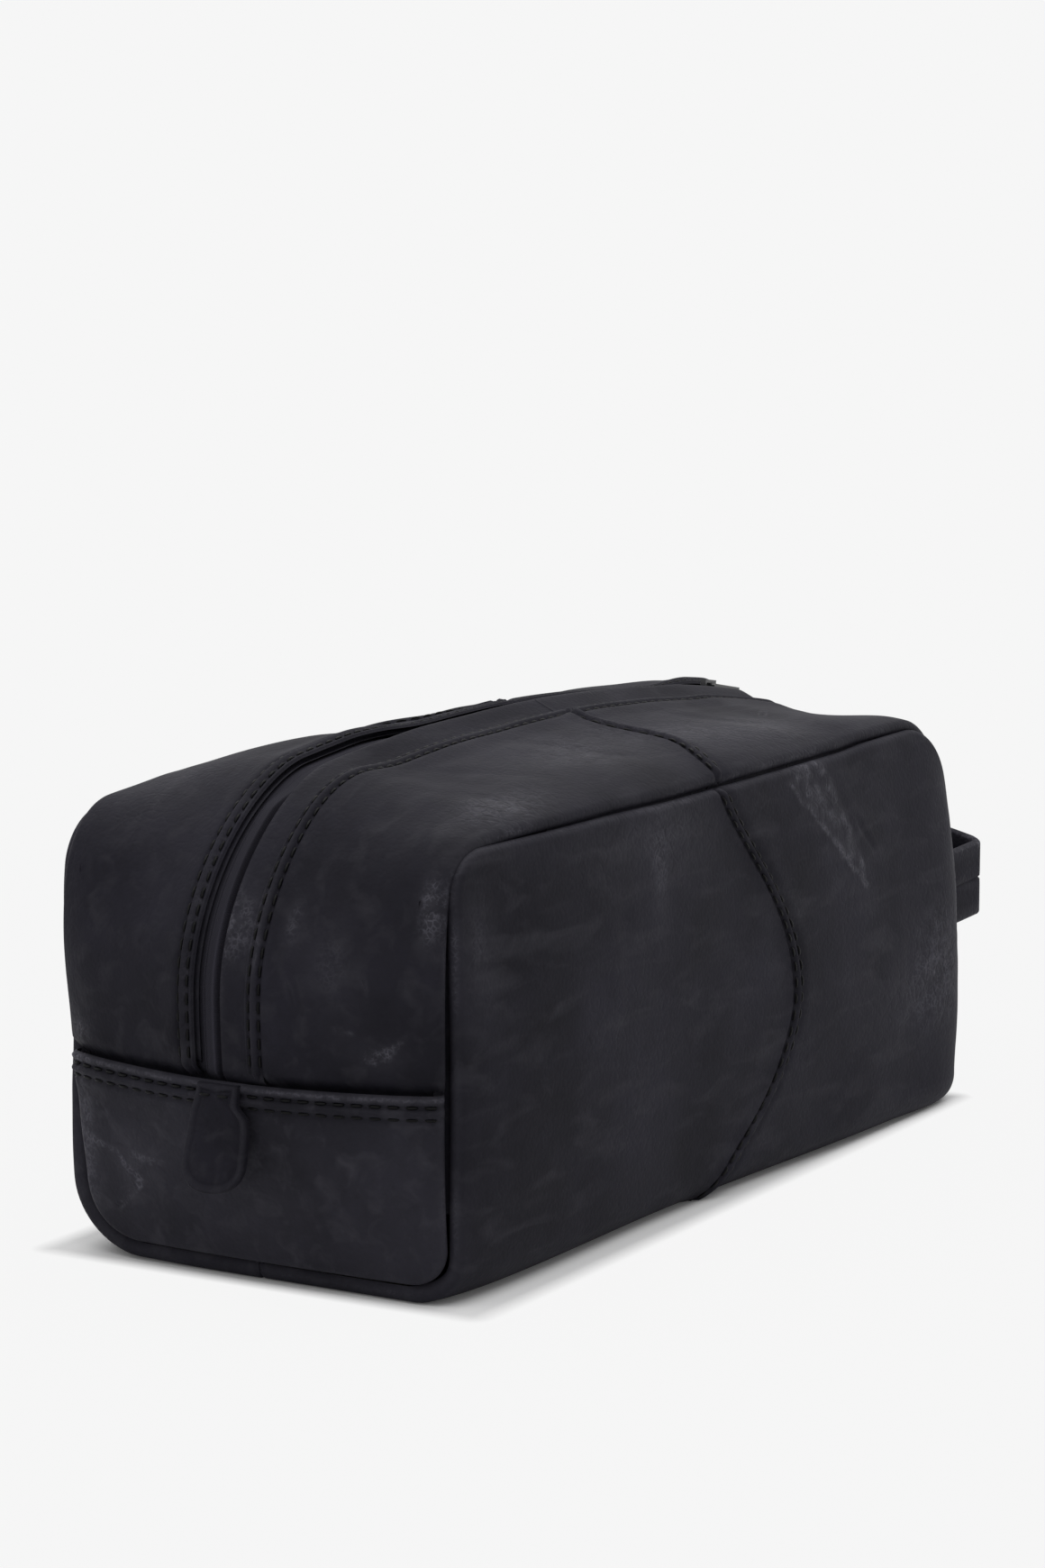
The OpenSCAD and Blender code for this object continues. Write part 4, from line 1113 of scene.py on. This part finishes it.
def tab_outline(count=30):
    """The tab's outline, (across, down): a square head, a right side that steps out below it
    and runs straight, a left side that slants out, and a superellipse end. Points run once
    round, from the head's right corner."""
    head, wide, straight, length = 5.6, 8.4, 17.6, 24.6
    down = np.linspace(0, straight, count)
    right = np.stack([head + (wide - head) * ease((down - 4.2) / 4.0), -down], -1)
    turn = np.linspace(0, np.pi, 2 * count)[1:-1]
    cos, sin = np.cos(turn), np.sin(turn)
    end = np.stack([wide * np.sign(cos) * np.abs(cos) ** (2 / 2.3),
                    -straight - (length - straight) * sin ** (2 / 2.3)], -1)
    slant = head - 0.5 + (wide - head + 0.5) * np.sin(np.pi / 2 * down / straight) ** 1.3
    left = np.stack([-slant, -down], -1)[::-1]
    top = np.stack([np.linspace(-slant[0], head, count // 2)[1:-1], np.zeros(count // 2 - 2)], -1)
    return np.concatenate([right, end, left, top])


def grab_tab():
    """The tongue of two leathers: its outline drawn in towards a spine by shares, with a
    round edge parted by a fine line between the plies and a pressed line inside the edge."""
    outline = tab_outline()
    spine = np.stack([np.zeros(len(outline)), np.clip(outline[:, 1], -16.5, -5.0)], -1)
    reach = np.linalg.norm(outline - spine, axis=1)[:, None]
    inset = np.array([30, 8, 5, 3.4, 2.7, 2.3, 2.0, 1.7, 1.3, 0.8, 0.35, 0.08, 0, 0.12,
                      0, 0.08, 0.35, 0.8, 1.4, 2.4, 5, 30])
    depth = np.array([0, 0, 0, 0, 0.08, 0.26, 0.42, 0.26, 0.06, 0, 0.12, 0.5, 0.95, 1.2,
                      1.45, 1.9, 2.3, 2.4, 2.4, 2.4, 2.4, 2.4])
    share = np.clip(1 - inset[None, :] / reach, 0, 1)
    flat = spine[:, None] + (outline - spine)[:, None] * share[..., None]
    # The free end hangs a little away from the panel and curls at its foot
    fall = np.clip(-flat[..., 1] - 6, 0, None)
    curl = 0.012 * fall ** 2 + 0.5 * np.exp(-((flat[..., 1] + 6) / 3.0) ** 2)
    x = TAB_X - 2.45 + depth[None, :] - curl + 0.25 * noise(
        np.stack([flat[..., 0], flat[..., 1], np.zeros_like(fall)], -1), 7.0, 51)
    points = np.stack([x, TAB_Y - flat[..., 0], PANEL_H - 0.2 + flat[..., 1]], -1)
    rows, cols = points.shape[:2]
    # Pale rim round the tab: partly edge wear, partly painted highlight on its raised edge
    wear = np.clip(np.exp(-((inset - 0.9) / 0.7) ** 2), 0, 1)[None, :] * np.ones((rows, 1)) * 0.3
    faces = grid_faces(cols, rows, 0, False, True)
    piece = new_piece("grab_tab_leather", points.transpose(1, 0, 2).reshape(-1, 3), [faces],
                      leather("trim"), wear=wear.T)
    fix_normals(piece)
    settle(piece, ("bag", "grab_tab"), ["grab_tab_head", "grab_tab_face", "grab_tab_back"])


def handle_outline():
    """The strap's section, (out, up): a folded strip with round edges, and a fine groove
    along the middle of its outer face where the folded edges meet."""
    w, t = STRAP_W / 2, STRAP_T
    turn = np.linspace(0, np.pi, 9)
    tall = t / 2 * 0.8        # the round edges are a little flatter than half circles
    top = np.stack([t / 2 * (1 + np.cos(turn)), w - tall + tall * np.sin(turn)], -1)
    foot = np.stack([t / 2 * (1 - np.cos(turn)), -w + tall - tall * np.sin(turn)], -1)
    back = np.array([[0, 6], [0, 2], [0, -2], [0, -6]])
    face = np.array([[t, -6], [t, -2], [t - 0.05, -0.6], [t - 0.5, -0.12], [t - 0.5, 0.12],
                     [t - 0.05, 0.6], [t, 2], [t, 6]])
    return np.concatenate([top, back, foot, face])


def handle():
    """The strap carried along its path: out from the end on both sides, sharp round folds and
    a grip between them that arches upwards. Its outline is turned with the path."""
    t = np.linspace(0, 1, 60)
    r = 2.6
    leg = np.stack([STRAP_SEAT + (STRAP_OUT - r - STRAP_SEAT) * t, np.full_like(t, -STRAP_Y)], -1)
    turn = np.linspace(-np.pi / 2, 0, 14)[1:]
    fold = np.stack([STRAP_OUT - r + r * np.cos(turn), -STRAP_Y + r + r * np.sin(turn)], -1)
    grip = np.stack([np.full(60, STRAP_OUT), np.linspace(-STRAP_Y + r, 0, 61)[1:]], -1)
    half = np.concatenate([leg, fold, grip])
    plan = np.concatenate([half, (half * [1, -1])[::-1][1:]])
    inward = np.gradient(plan, axis=0)
    inward /= np.linalg.norm(inward, axis=1, keepdims=True)
    across = np.stack([inward[:, 1], -inward[:, 0], np.zeros(len(plan))], -1)
    share = np.abs(plan[:, 1]) / STRAP_Y
    out = (plan[:, 0] - STRAP_SEAT) / (STRAP_OUT - STRAP_SEAT)
    z = STRAP_Z + 1.2 * out + 7.5 * (1 - share ** 2) * (share < 1)
    sag = 0.8 * np.sin(np.pi * np.clip(1 - share, 0, 1))
    centres = np.stack([plan[:, 0] - sag, plan[:, 1], z], -1)
    outline = handle_outline() - [STRAP_T, 0]
    up = np.tile([0.0, 0.0, 1.0], (len(plan), 1))
    # Pale lines along the strap's round edges and at its folds: partly wear, partly painted
    # highlight
    edge_wear_and_highlight = np.exp(-((np.abs(outline[:, 1]) - STRAP_W / 2 + 0.6) / 0.6) ** 2) * 0.6
    fold_wear_and_highlight = np.exp(-(((share - 0.97) / 0.03) ** 2)) * 0.8 * (out > 0.9)
    wear = np.clip(edge_wear_and_highlight[None, :] + fold_wear_and_highlight[:, None], 0, 1)
    piece = tube("handle_leather", centres, across, up, outline, leather("trim"), wear)
    settle(piece, ("bag", "handle"), ["handle_ends", "handle_face", "handle_backing"])


# --- Lining, interlining and hard parts ---------------------------------------------------


def side_ply(name, side, depth, thick, material, low):
    """A ply behind a side leather: the side's own surface, moved in by depth."""
    v = np.concatenate([np.linspace(0.04, 1, 22), np.linspace(1, 2, 7)[1:],
                        np.linspace(2, 2.995, 8)[1:]])
    v = v[v <= low][:, None]
    z = side_level(np.zeros_like(v), v, side)
    x = places(-side_reach(FRONT, z, side)[:, 0] + 4.2,
               side_reach(REAR, z, side)[:, 0] - 4.2, 46,
               (False, False))
    g = side_surface(x, np.broadcast_to(v, x.shape), side)
    puff = 0.35 * noise(g, 14.0, 61) * (depth > 3)
    uv = np.stack([x, along(g, 0)], -1) * MM
    return shell(name, g, -depth + puff, thick, material, None, uv)


def linings():
    """The lining cloth and the interlining: each follows the leather in front of it."""
    for side in (RIGHT, LEFT):
        name = side_name(side)
        piece = side_ply(f"interlining_{name}_foam", side, 2.45, 0.7, foam(), 1.0)
        settle(piece, ["bag"], ["interlining_" + name])
        piece = side_ply(f"lining_{name}_cloth", side, 3.9, 0.4, woven("lining"), 3.0)
        settle(piece, ["bag"], ["lining_" + name])
        for s in (FRONT, REAR):
            t = np.concatenate([np.linspace(0.1, 1, 30), np.linspace(1, 2, 24)[1:]])[:, None]
            start = side * np.where(t[:, 0] > 1, seam_y(MOUTH[s] * (2 - t[:, 0])), HALF_W)
            inner = ZIP_Y + side * 5.4
            y = places(start - side * 4.2, np.full(len(t), inner), 16, (False, False))
            tt = np.broadcast_to(t, y.shape)
            g = top_surface(s, tt, y, 0.0, side)
            uv = np.stack([along(g, 0), y], -1) * MM
            piece = shell(f"lining_top_{name}_{end_name(s)}_cloth", g,
                          np.full(y.shape, -4.3) + 0.3 * noise(g, 12.0, 63), 0.4,
                          woven("lining"), None, uv)
            nodes = {(FRONT, RIGHT): ["lining_mouth_right", "lining_shoulder_front"],
                     (FRONT, LEFT): ["lining_mouth_left"],
                     (REAR, RIGHT): ["lining_shoulder_rear"], (REAR, LEFT): []}[s, side]
            bodies, bend = mouth_bend(s, side)
            settle(piece, bodies, nodes)
    for s in (FRONT, REAR):
        z = np.linspace(6.5, PANEL_H + 2, 22)[:, None]
        y = places(-HALF_W + 5, HALF_W - 5, 30, (False, False))
        share = np.broadcast_to(y / HALF_W, (len(z), y.shape[1]))
        g = end_surface(s, share, np.broadcast_to(z, share.shape))
        uv = g[..., 1:] * MM
        piece = shell(f"lining_end_{end_name(s)}_cloth", g, np.full(share.shape, -3.4), 0.4,
                      woven("lining"), None, uv)
        settle(piece, ["bag"], ["lining_end_" + end_name(s)])


def hard_parts():
    """The nodes whose own shape is right take their finish here."""
    for name, material in (("zip_slider", enamel()), ("zip_pull", enamel()),
                           ("zip_stop_front", enamel()), ("zip_stop_rear", enamel()),
                           ("base_board", fibre_board())):
        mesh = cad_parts[name].data
        mesh.materials.clear()
        mesh.materials.append(material)


# --- Materials ----------------------------------------------------------------------------


def material(name):
    """Turns a function that fills an empty node tree into one that gives the material, which
    is made once for each part asked for."""
    def wrap(fill):
        def give(*part):
            full = "_".join([name, *part])
            made = bpy.data.materials.get(full)
            if made is None:
                made = bpy.data.materials.new(full)
                made.use_nodes = True
                made.node_tree.nodes.clear()
                fill(made.node_tree, *part)
            return made
        give.__doc__ = fill.__doc__
        return give
    return wrap


def add(tree, kind, inputs=None, **settings):
    """Adds a node: settings are its own properties, and inputs are values or output sockets
    by socket name or number."""
    node = tree.nodes.new(kind)
    for key, value in settings.items():
        setattr(node, key, value)
    for key, value in (inputs or {}).items():
        if isinstance(value, bpy.types.NodeSocket):
            tree.links.new(value, node.inputs[key])
        else:
            node.inputs[key].default_value = value
    return node


def close(tree, shader):
    add(tree, "ShaderNodeOutputMaterial", {"Surface": shader.outputs[0]})


def mixed(tree, factor, first, second):
    """Colours first and second mixed by factor."""
    node = add(tree, "ShaderNodeMix", {0: factor, 6: first, 7: second}, data_type="RGBA")
    return node.outputs[2]


def ranged(tree, value, low, high, to_low=0.0, to_high=1.0):
    """value moved from the range low to high to another range, and held inside it."""
    return add(tree, "ShaderNodeMapRange", {
        "Value": value, "From Min": low, "From Max": high, "To Min": to_low,
        "To Max": to_high}).outputs[0]


def times(tree, a, b, operation="MULTIPLY"):
    """a times b, or another operation on the two."""
    return add(tree, "ShaderNodeMath", {0: a, 1: b}, operation=operation).outputs[0]


def texture(tree, kind, where, size, feature=None, **inputs):
    """A noise, cell or wave texture read at where, with cells of the given size in metres."""
    inputs.update(Vector=where, Scale=1 / size)
    return add(tree, "ShaderNodeTex" + kind, inputs, **({"feature": feature} if feature else {}))


def bumped(tree, height, strength, distance, under=None):
    """The normals of a surface raised by height times distance, over another bump's."""
    inputs = {"Height": height, "Strength": strength, "Distance": distance}
    if under is not None:
        inputs["Normal"] = under
    return add(tree, "ShaderNodeBump", inputs).outputs[0]


def surface(tree, colour, roughness, more=(), normal=None):
    """The material's surface, with an index of refraction of 1.5 unless more gives another."""
    inputs = {"Base Color": colour, "Roughness": roughness, "IOR": 1.5, **dict(more)}
    if normal is not None:
        inputs["Normal"] = normal
    close(tree, add(tree, "ShaderNodeBsdfPrincipled", inputs))


def object_place(tree):
    return add(tree, "ShaderNodeTexCoord").outputs["Object"]


def wear_and_sheen_of(tree):
    """The piece's own wear, 0 to 1."""
    return add(tree, "ShaderNodeAttribute", attribute_name="wear").outputs["Fac"]


def tone(colour, k):
    """A colour made k times as bright, held at full white."""
    return [min(1, c * k) for c in colour[:3]] + [1.0]


def grey(colour, k):
    """A cool grey k times as bright as a colour."""
    return [c * k * sum(colour[:3]) / 3 for c in (0.95, 0.92, 1.13)] + [1.0]


@material("natural_leather")
def leather(tree, part):
    """Natural full-grain leather, drum dyed and lightly waxed: low pebbles about a
    millimetre wide, a net of finer folds, soft cloudy tone and paler worn places."""
    base = list(getattr(colours(), part))
    where = object_place(tree)
    cloud = texture(tree, "Noise", where, 0.034, Detail=5.0, Roughness=0.6).outputs[0]
    fleck = texture(tree, "Noise", where, 0.0032, Detail=4.0, Roughness=0.7).outputs[0]
    wear_and_sheen_amount = wear_and_sheen_of(tree)
    # Cloudy tone from uneven dye, over a few centimetres
    colour = mixed(tree, ranged(tree, cloud, 0.34, 0.7), tone(base, 0.66), tone(base, 1.36))
    # Paler streaks, stretched along the bag's length
    drawn = add(tree, "ShaderNodeMapping", {"Vector": where, "Scale": (0.3, 1.0, 1.0)}).outputs[0]
    streak = texture(tree, "Noise", drawn, 0.006, Detail=3.0, Distortion=0.6).outputs[0]
    colour = mixed(tree, ranged(tree, streak, 0.5, 0.78, 0.0, 0.7), colour, grey(base, 2.1))
    # Fine flecks where the dye sits in the pores
    colour = mixed(tree, ranged(tree, fleck, 0.5, 0.75, 0.0, 0.5), colour, tone(base, 0.62))
    # Paler where the wear attribute is high: rubbed places, and painted highlights on edges, ridges
    # and lit corners, all broken up by the flecks
    rubbed_and_lit = times(tree, wear_and_sheen_amount, ranged(tree, fleck, 0.4, 0.6, 0.5, 1.0))
    colour = mixed(tree, times(tree, rubbed_and_lit, 0.9), colour, grey(base, 3.2))
    # The cells below are shifted by noise, so that their edges aren't straight
    bent = texture(tree, "Noise", where, 0.006, Detail=2.0).outputs["Color"]
    shifted = add(tree, "ShaderNodeVectorMath", {0: bent, 1: (0.0022, 0.0022, 0.0022)},
                  operation="MULTIPLY").outputs[0]
    shifted = add(tree, "ShaderNodeVectorMath", {0: where, 1: shifted}).outputs[0]
    pebbles = texture(tree, "Voronoi", shifted, sizes().grain, "F1", Randomness=0.95).outputs[0]
    net = texture(tree, "Voronoi", shifted, 0.0034, "DISTANCE_TO_EDGE", Randomness=1.0).outputs[0]
    # Where the wear attribute is highest, the crackled finish shows as a fine pale net: painted
    # glints where its cracks catch the light
    crackle = texture(tree, "Voronoi", shifted, 0.0012, "DISTANCE_TO_EDGE", Randomness=1.0)
    pale = times(tree, ranged(tree, crackle.outputs[0], 0.04, 0.2, 1.0, 0.0),
                 ranged(tree, wear_and_sheen_amount, 0.25, 0.9))
    pale = times(tree, pale, ranged(tree, fleck, 0.42, 0.58))
    colour = mixed(tree, pale, colour, grey(base, 6.0))
    # The net shows in patches, and most where the wear attribute is high
    where_net = times(tree, ranged(tree, cloud, 0.46, 0.66, 0.04, 0.3),
                      times(tree, wear_and_sheen_amount, 1.3), "MAXIMUM")
    pores = texture(tree, "Noise", where, 0.0005, Detail=3.0).outputs[0]
    bump = bumped(tree, ranged(tree, net, 0.0, 0.16), where_net, 0.00016)
    bump = bumped(tree, pebbles, 0.5, -0.00016, bump)
    bump = bumped(tree, pores, 0.5, 0.00008, bump)
    surface(tree, colour, ranged(tree, wear_and_sheen_amount, 0.0, 0.8, 0.7, 0.5),
            {"Specular IOR Level": 0.072}, bump)


@material("bonded_polyester_thread")
def thread(tree):
    """Bonded polyester sewing thread: two plies twisted together, seen as slanting ridges,
    with a soft shine."""
    twist = texture(tree, "Wave", object_place(tree), 0.0035, Distortion=0.6)
    twist.bands_direction = "DIAGONAL"
    surface(tree, list(colours().thread), 0.5, {"Specular IOR Level": 0.12},
            bumped(tree, twist.outputs[1], 0.6, 0.00008))


@material("woven_polyester")
def woven(tree, part):
    """Plain woven polyester: threads over and under each other, as two crossed waves on the
    piece's own map; the tape's is tighter than the lining's."""
    pitch = sizes().weave * (0.9 if part == "tape" else 1.0)
    base = list(getattr(colours(), part))
    where = add(tree, "ShaderNodeUVMap", uv_map="UVMap").outputs[0]
    split = add(tree, "ShaderNodeSeparateXYZ", {0: where})
    waves = [times(tree, times(tree, split.outputs[axis], 2 * math.pi / pitch), 0.0, "SINE")
             for axis in (0, 1)]
    height = ranged(tree, times(tree, *waves), -1.0, 1.0)
    # Paler thread crowns and darker hollows between them, following the weave's height: painted
    # light and painted shade
    colour = mixed(tree, height, tone(base, 0.8), tone(base, 1.15))
    # Paler where the wear attribute is high: on the tape, a painted highlight along the strip's lit
    # right edge
    colour = mixed(tree, wear_and_sheen_of(tree), colour, tone(base, 2.2))
    surface(tree, colour, 0.75, {"Specular IOR Level": 0.08}, bumped(tree, height, 0.4, 0.0001))


@material("extruded_nylon")
def nylon(tree):
    """Extruded nylon monofilament: smooth, with a soft gloss and faint mottling."""
    base = list(colours().coil)
    cloud = texture(tree, "Noise", object_place(tree), 0.002).outputs[0]
    surface(tree, mixed(tree, cloud, tone(base, 0.8), tone(base, 1.2)), 0.32, {"IOR": 1.53})


@material("enamelled_zinc")
def enamel(tree):
    """Stove-enamelled zinc die casting: an even satin paint with fine orange peel and
    slightly rubbed tone."""
    base = list(colours().metal)
    where = object_place(tree)
    peel = texture(tree, "Noise", where, 0.0007, Detail=2.0).outputs[0]
    cloud = texture(tree, "Noise", where, 0.003).outputs[0]
    colour = mixed(tree, ranged(tree, cloud, 0.35, 0.7), tone(base, 0.85), tone(base, 1.3))
    surface(tree, colour, 0.34, {"Coat Weight": 0.3, "Coat Roughness": 0.2},
            bumped(tree, peel, 0.4, 0.00003))


@material("foam_wadding")
def foam(tree):
    """Polyester foam wadding: open, matt and slightly lumpy."""
    base = list(colours().foam)
    cells = texture(tree, "Voronoi", object_place(tree), 0.0006).outputs[0]
    surface(tree, mixed(tree, cells, base, tone(base, 0.6)), 0.9, {"IOR": 1.45},
            bumped(tree, cells, 0.6, 0.0001))


@material("pressed_fibre_board")
def fibre_board(tree):
    """Pressed fibre board: grey-brown, matt, with short fibres in all directions."""
    base = list(colours().board)
    fibre = texture(tree, "Noise", object_place(tree), 0.0016, Detail=6.0, Roughness=0.7,
                    Distortion=1.2).outputs[0]
    colour = mixed(tree, ranged(tree, fibre, 0.35, 0.65), tone(base, 0.7), tone(base, 1.2))
    surface(tree, colour, 0.85, {"IOR": 1.45}, bumped(tree, fibre, 0.4, 0.0001))


def seen_ray(tree):
    """1 for a ray that shows the background itself, mirrored or seen through something, and
    0 for one that carries light to the bag."""
    path = add(tree, "ShaderNodeLightPath")
    seen = times(tree, path.outputs["Is Camera Ray"], path.outputs["Is Glossy Ray"], "MAXIMUM")
    return times(tree, seen, path.outputs["Is Transmission Ray"], "MAXIMUM")


FOOTPRINT = (0.126, 0.0575)      # half length and half width, in metres, of the bag's base


@material("matt_paper_floor")
def studio_floor(tree):
    """Matt paper floor: it takes the shadow close round the bag's foot, and turns even away
    from it, so that it has no horizon."""
    # Distance from the rectangle that the bag stands on
    off = add(tree, "ShaderNodeVectorMath", {0: object_place(tree)},
              operation="ABSOLUTE").outputs[0]
    off = add(tree, "ShaderNodeVectorMath", {0: off, 1: (*FOOTPRINT, 0)},
              operation="SUBTRACT").outputs[0]
    off = add(tree, "ShaderNodeVectorMath", {0: off, 1: (0, 0, 0)},
              operation="MAXIMUM").outputs[0]
    off = add(tree, "ShaderNodeVectorMath", {0: off}, operation="LENGTH").outputs[1]
    far = times(tree, ranged(tree, off, 0.0, 0.006, 0.03, 0.98), ranged(tree, off, 0.05, 0.4),
                "MAXIMUM")
    paper = add(tree, "ShaderNodeBsdfDiffuse", {"Color": list(colours().floor)})
    glow = add(tree, "ShaderNodeEmission", {"Color": list(colours().floor), "Strength": 1.0})
    both = add(tree, "ShaderNodeMixShader", {
        0: times(tree, far, seen_ray(tree)), 1: paper.outputs[0], 2: glow.outputs[0]})
    close(tree, both)


# --- Operators ----------------------------------------------------------------------------


class KITBAG_OT_sides(bpy.types.Operator):
    """Make the four side leathers, the stitching of their curved seams and the edges turned
    in at their other seams"""

    bl_idname = "kitbag.sides"
    bl_label = "Side leathers"

    def execute(self, context):
        for side in (RIGHT, LEFT):
            for s in (FRONT, REAR):
                side_leather(s, side)
            side_stitches(side)
            for part in ALLOWANCE_X:
                seam_allowance(side, part)
            for s in (FRONT, REAR):
                corner_allowance(s, side)
        return {"FINISHED"}


class KITBAG_OT_end_panels(bpy.types.Operator):
    """Make the two lower end panels and their stitching"""

    bl_idname = "kitbag.end_panels"
    bl_label = "End panels"

    def execute(self, context):
        for s in (FRONT, REAR):
            end_panel(s)
        return {"FINISHED"}


class KITBAG_OT_top(bpy.types.Operator):
    """Make the four top leathers and their stitching"""

    bl_idname = "kitbag.top"
    bl_label = "Top leathers"

    def execute(self, context):
        for side in (RIGHT, LEFT):
            for s in (FRONT, REAR):
                top_leather(s, side)
        return {"FINISHED"}


class KITBAG_OT_zip(bpy.types.Operator):
    """Make the zip's leather band, woven tapes and coils"""

    bl_idname = "kitbag.zip"
    bl_label = "Zip"

    def execute(self, context):
        for s in (FRONT, REAR):
            zip_band(s)
            for side in (RIGHT, LEFT):
                zip_tape(s, side)
                zip_coil(s, side)
        return {"FINISHED"}


class KITBAG_OT_grab_tab(bpy.types.Operator):
    """Make the grab tab on the front end"""

    bl_idname = "kitbag.grab_tab"
    bl_label = "Grab tab"

    def execute(self, context):
        grab_tab()
        return {"FINISHED"}


class KITBAG_OT_handle(bpy.types.Operator):
    """Make the strap handle on the rear end"""

    bl_idname = "kitbag.handle"
    bl_label = "Handle"

    def execute(self, context):
        handle()
        return {"FINISHED"}


class KITBAG_OT_linings(bpy.types.Operator):
    """Make the lining cloth and the interlining"""

    bl_idname = "kitbag.linings"
    bl_label = "Linings"

    def execute(self, context):
        linings()
        return {"FINISHED"}


class KITBAG_OT_hard_parts(bpy.types.Operator):
    """Finish the slider, the pull, the stops and the base board"""

    bl_idname = "kitbag.hard_parts"
    bl_label = "Hard parts"

    def execute(self, context):
        hard_parts()
        return {"FINISHED"}


class KITBAG_OT_stage(bpy.types.Operator):
    """Make the camera, the lamps and the floor"""

    bl_idname = "kitbag.stage"
    bl_label = "Stage"

    def execute(self, context):
        make_camera()
        make_lamps()
        make_floor()
        return {"FINISHED"}


LENS, SENSOR = 101.1, 36                  # focal length and sensor width in mm
CAMERA_AT = (-0.9416, -0.5501, 0.2702)    # metres
# Name, place in metres, width in metres and power in watts
LAMPS = (("overhead", (0.1, 0.0, 2.2), 3.6, 58), ("rear_right", (1.6, -1.0, 0.9), 1.2, 2),
         ("front", (-2.2, -0.3, 1.2), 1.6, 6))
FLOOR_HALF, FLOOR_Z = 6000.0, -0.05       # half width and height of the floor in mm


def make_camera():
    """The camera stands at the bag's front right, a little above it."""
    data = bpy.data.cameras.new("camera")
    data.lens, data.sensor_width = LENS, SENSOR
    data.clip_start, data.clip_end = 0.05, 20
    camera = bpy.data.objects.new("camera", data)
    right, up = Vector((0.507, -0.862, 0)), Vector((0.134, 0.079, 0.988))
    back = right.cross(up).normalized()
    right = up.cross(back).normalized()
    up = back.cross(right)
    turn = Matrix((right, up, back)).transposed().to_4x4()
    camera.matrix_world = Matrix.Translation(CAMERA_AT) @ turn
    bpy.context.scene.collection.objects.link(camera)
    bpy.context.scene.camera = camera


def area_lamp(name, place, size, power):
    """A square soft lamp that faces the bag's middle."""
    data = bpy.data.lights.new(name, "AREA")
    data.size, data.energy = size, power
    lamp = bpy.data.objects.new(name, data)
    lamp.location = place
    way = Vector((0, 0, 0.06)) - Vector(place)
    lamp.rotation_euler = way.to_track_quat("-Z", "Y").to_euler()
    bpy.context.scene.collection.objects.link(lamp)


def make_lamps():
    """A large soft lamp overhead, weaker ones from the rear right and the front, and an even
    pale world."""
    for lamp in LAMPS:
        area_lamp(*lamp)
    scene = bpy.context.scene
    world = bpy.data.worlds.new("studio")
    scene.world = world
    world.use_nodes = True
    tree = world.node_tree
    tree.nodes.clear()
    dim = add(tree, "ShaderNodeBackground", {"Color": (1, 1, 1, 1), "Strength": 0.25})
    pale = add(tree, "ShaderNodeBackground", {
        "Color": list(colours().floor), "Strength": 1.0})
    both = add(tree, "ShaderNodeMixShader", {
        0: seen_ray(tree), 1: dim.outputs[0], 2: pale.outputs[0]})
    add(tree, "ShaderNodeOutputWorld", {"Surface": both.outputs[0]})
    scene.view_settings.view_transform = "Standard"


def make_floor():
    """A wide plain floor just under the bag."""
    points = np.array([[x * FLOOR_HALF, y * FLOOR_HALF, FLOOR_Z]
                       for x, y in ((-1, -1), (1, -1), (1, 1), (-1, 1))])
    new_piece("floor", points, [np.array([[0, 1, 2, 3]])], studio_floor())


class KITBAG_PT_panel(bpy.types.Panel):
    bl_label = "Kit Bag"
    bl_idname = "KITBAG_PT_panel"
    bl_space_type = "VIEW_3D"
    bl_region_type = "UI"
    bl_category = "Kit Bag"

    def draw(self, context):
        layout = self.layout
        for group in (context.scene.kitbag_sizes, context.scene.kitbag_colours):
            for key in group.__annotations__:
                layout.prop(group, key)
        for operator in OPERATORS:
            layout.operator(operator.bl_idname)


OPERATORS = (
    KITBAG_OT_stage, KITBAG_OT_sides, KITBAG_OT_end_panels, KITBAG_OT_top, KITBAG_OT_zip,
    KITBAG_OT_grab_tab, KITBAG_OT_handle, KITBAG_OT_linings, KITBAG_OT_hard_parts,
)
CLASSES = (KITBAG_PG_sizes, KITBAG_PG_colours, *OPERATORS, KITBAG_PT_panel)


def register():
    for cls in CLASSES:
        bpy.utils.register_class(cls)
    bpy.types.Scene.kitbag_sizes = bpy.props.PointerProperty(type=KITBAG_PG_sizes)
    bpy.types.Scene.kitbag_colours = bpy.props.PointerProperty(type=KITBAG_PG_colours)


def unregister():
    del bpy.types.Scene.kitbag_colours
    del bpy.types.Scene.kitbag_sizes
    for cls in reversed(CLASSES):
        bpy.utils.unregister_class(cls)


def main():
    register()
    for operator in OPERATORS:
        group, name = operator.bl_idname.split(".")
        getattr(getattr(bpy.ops, group), name)()


if __name__ == "__main__":
    main()
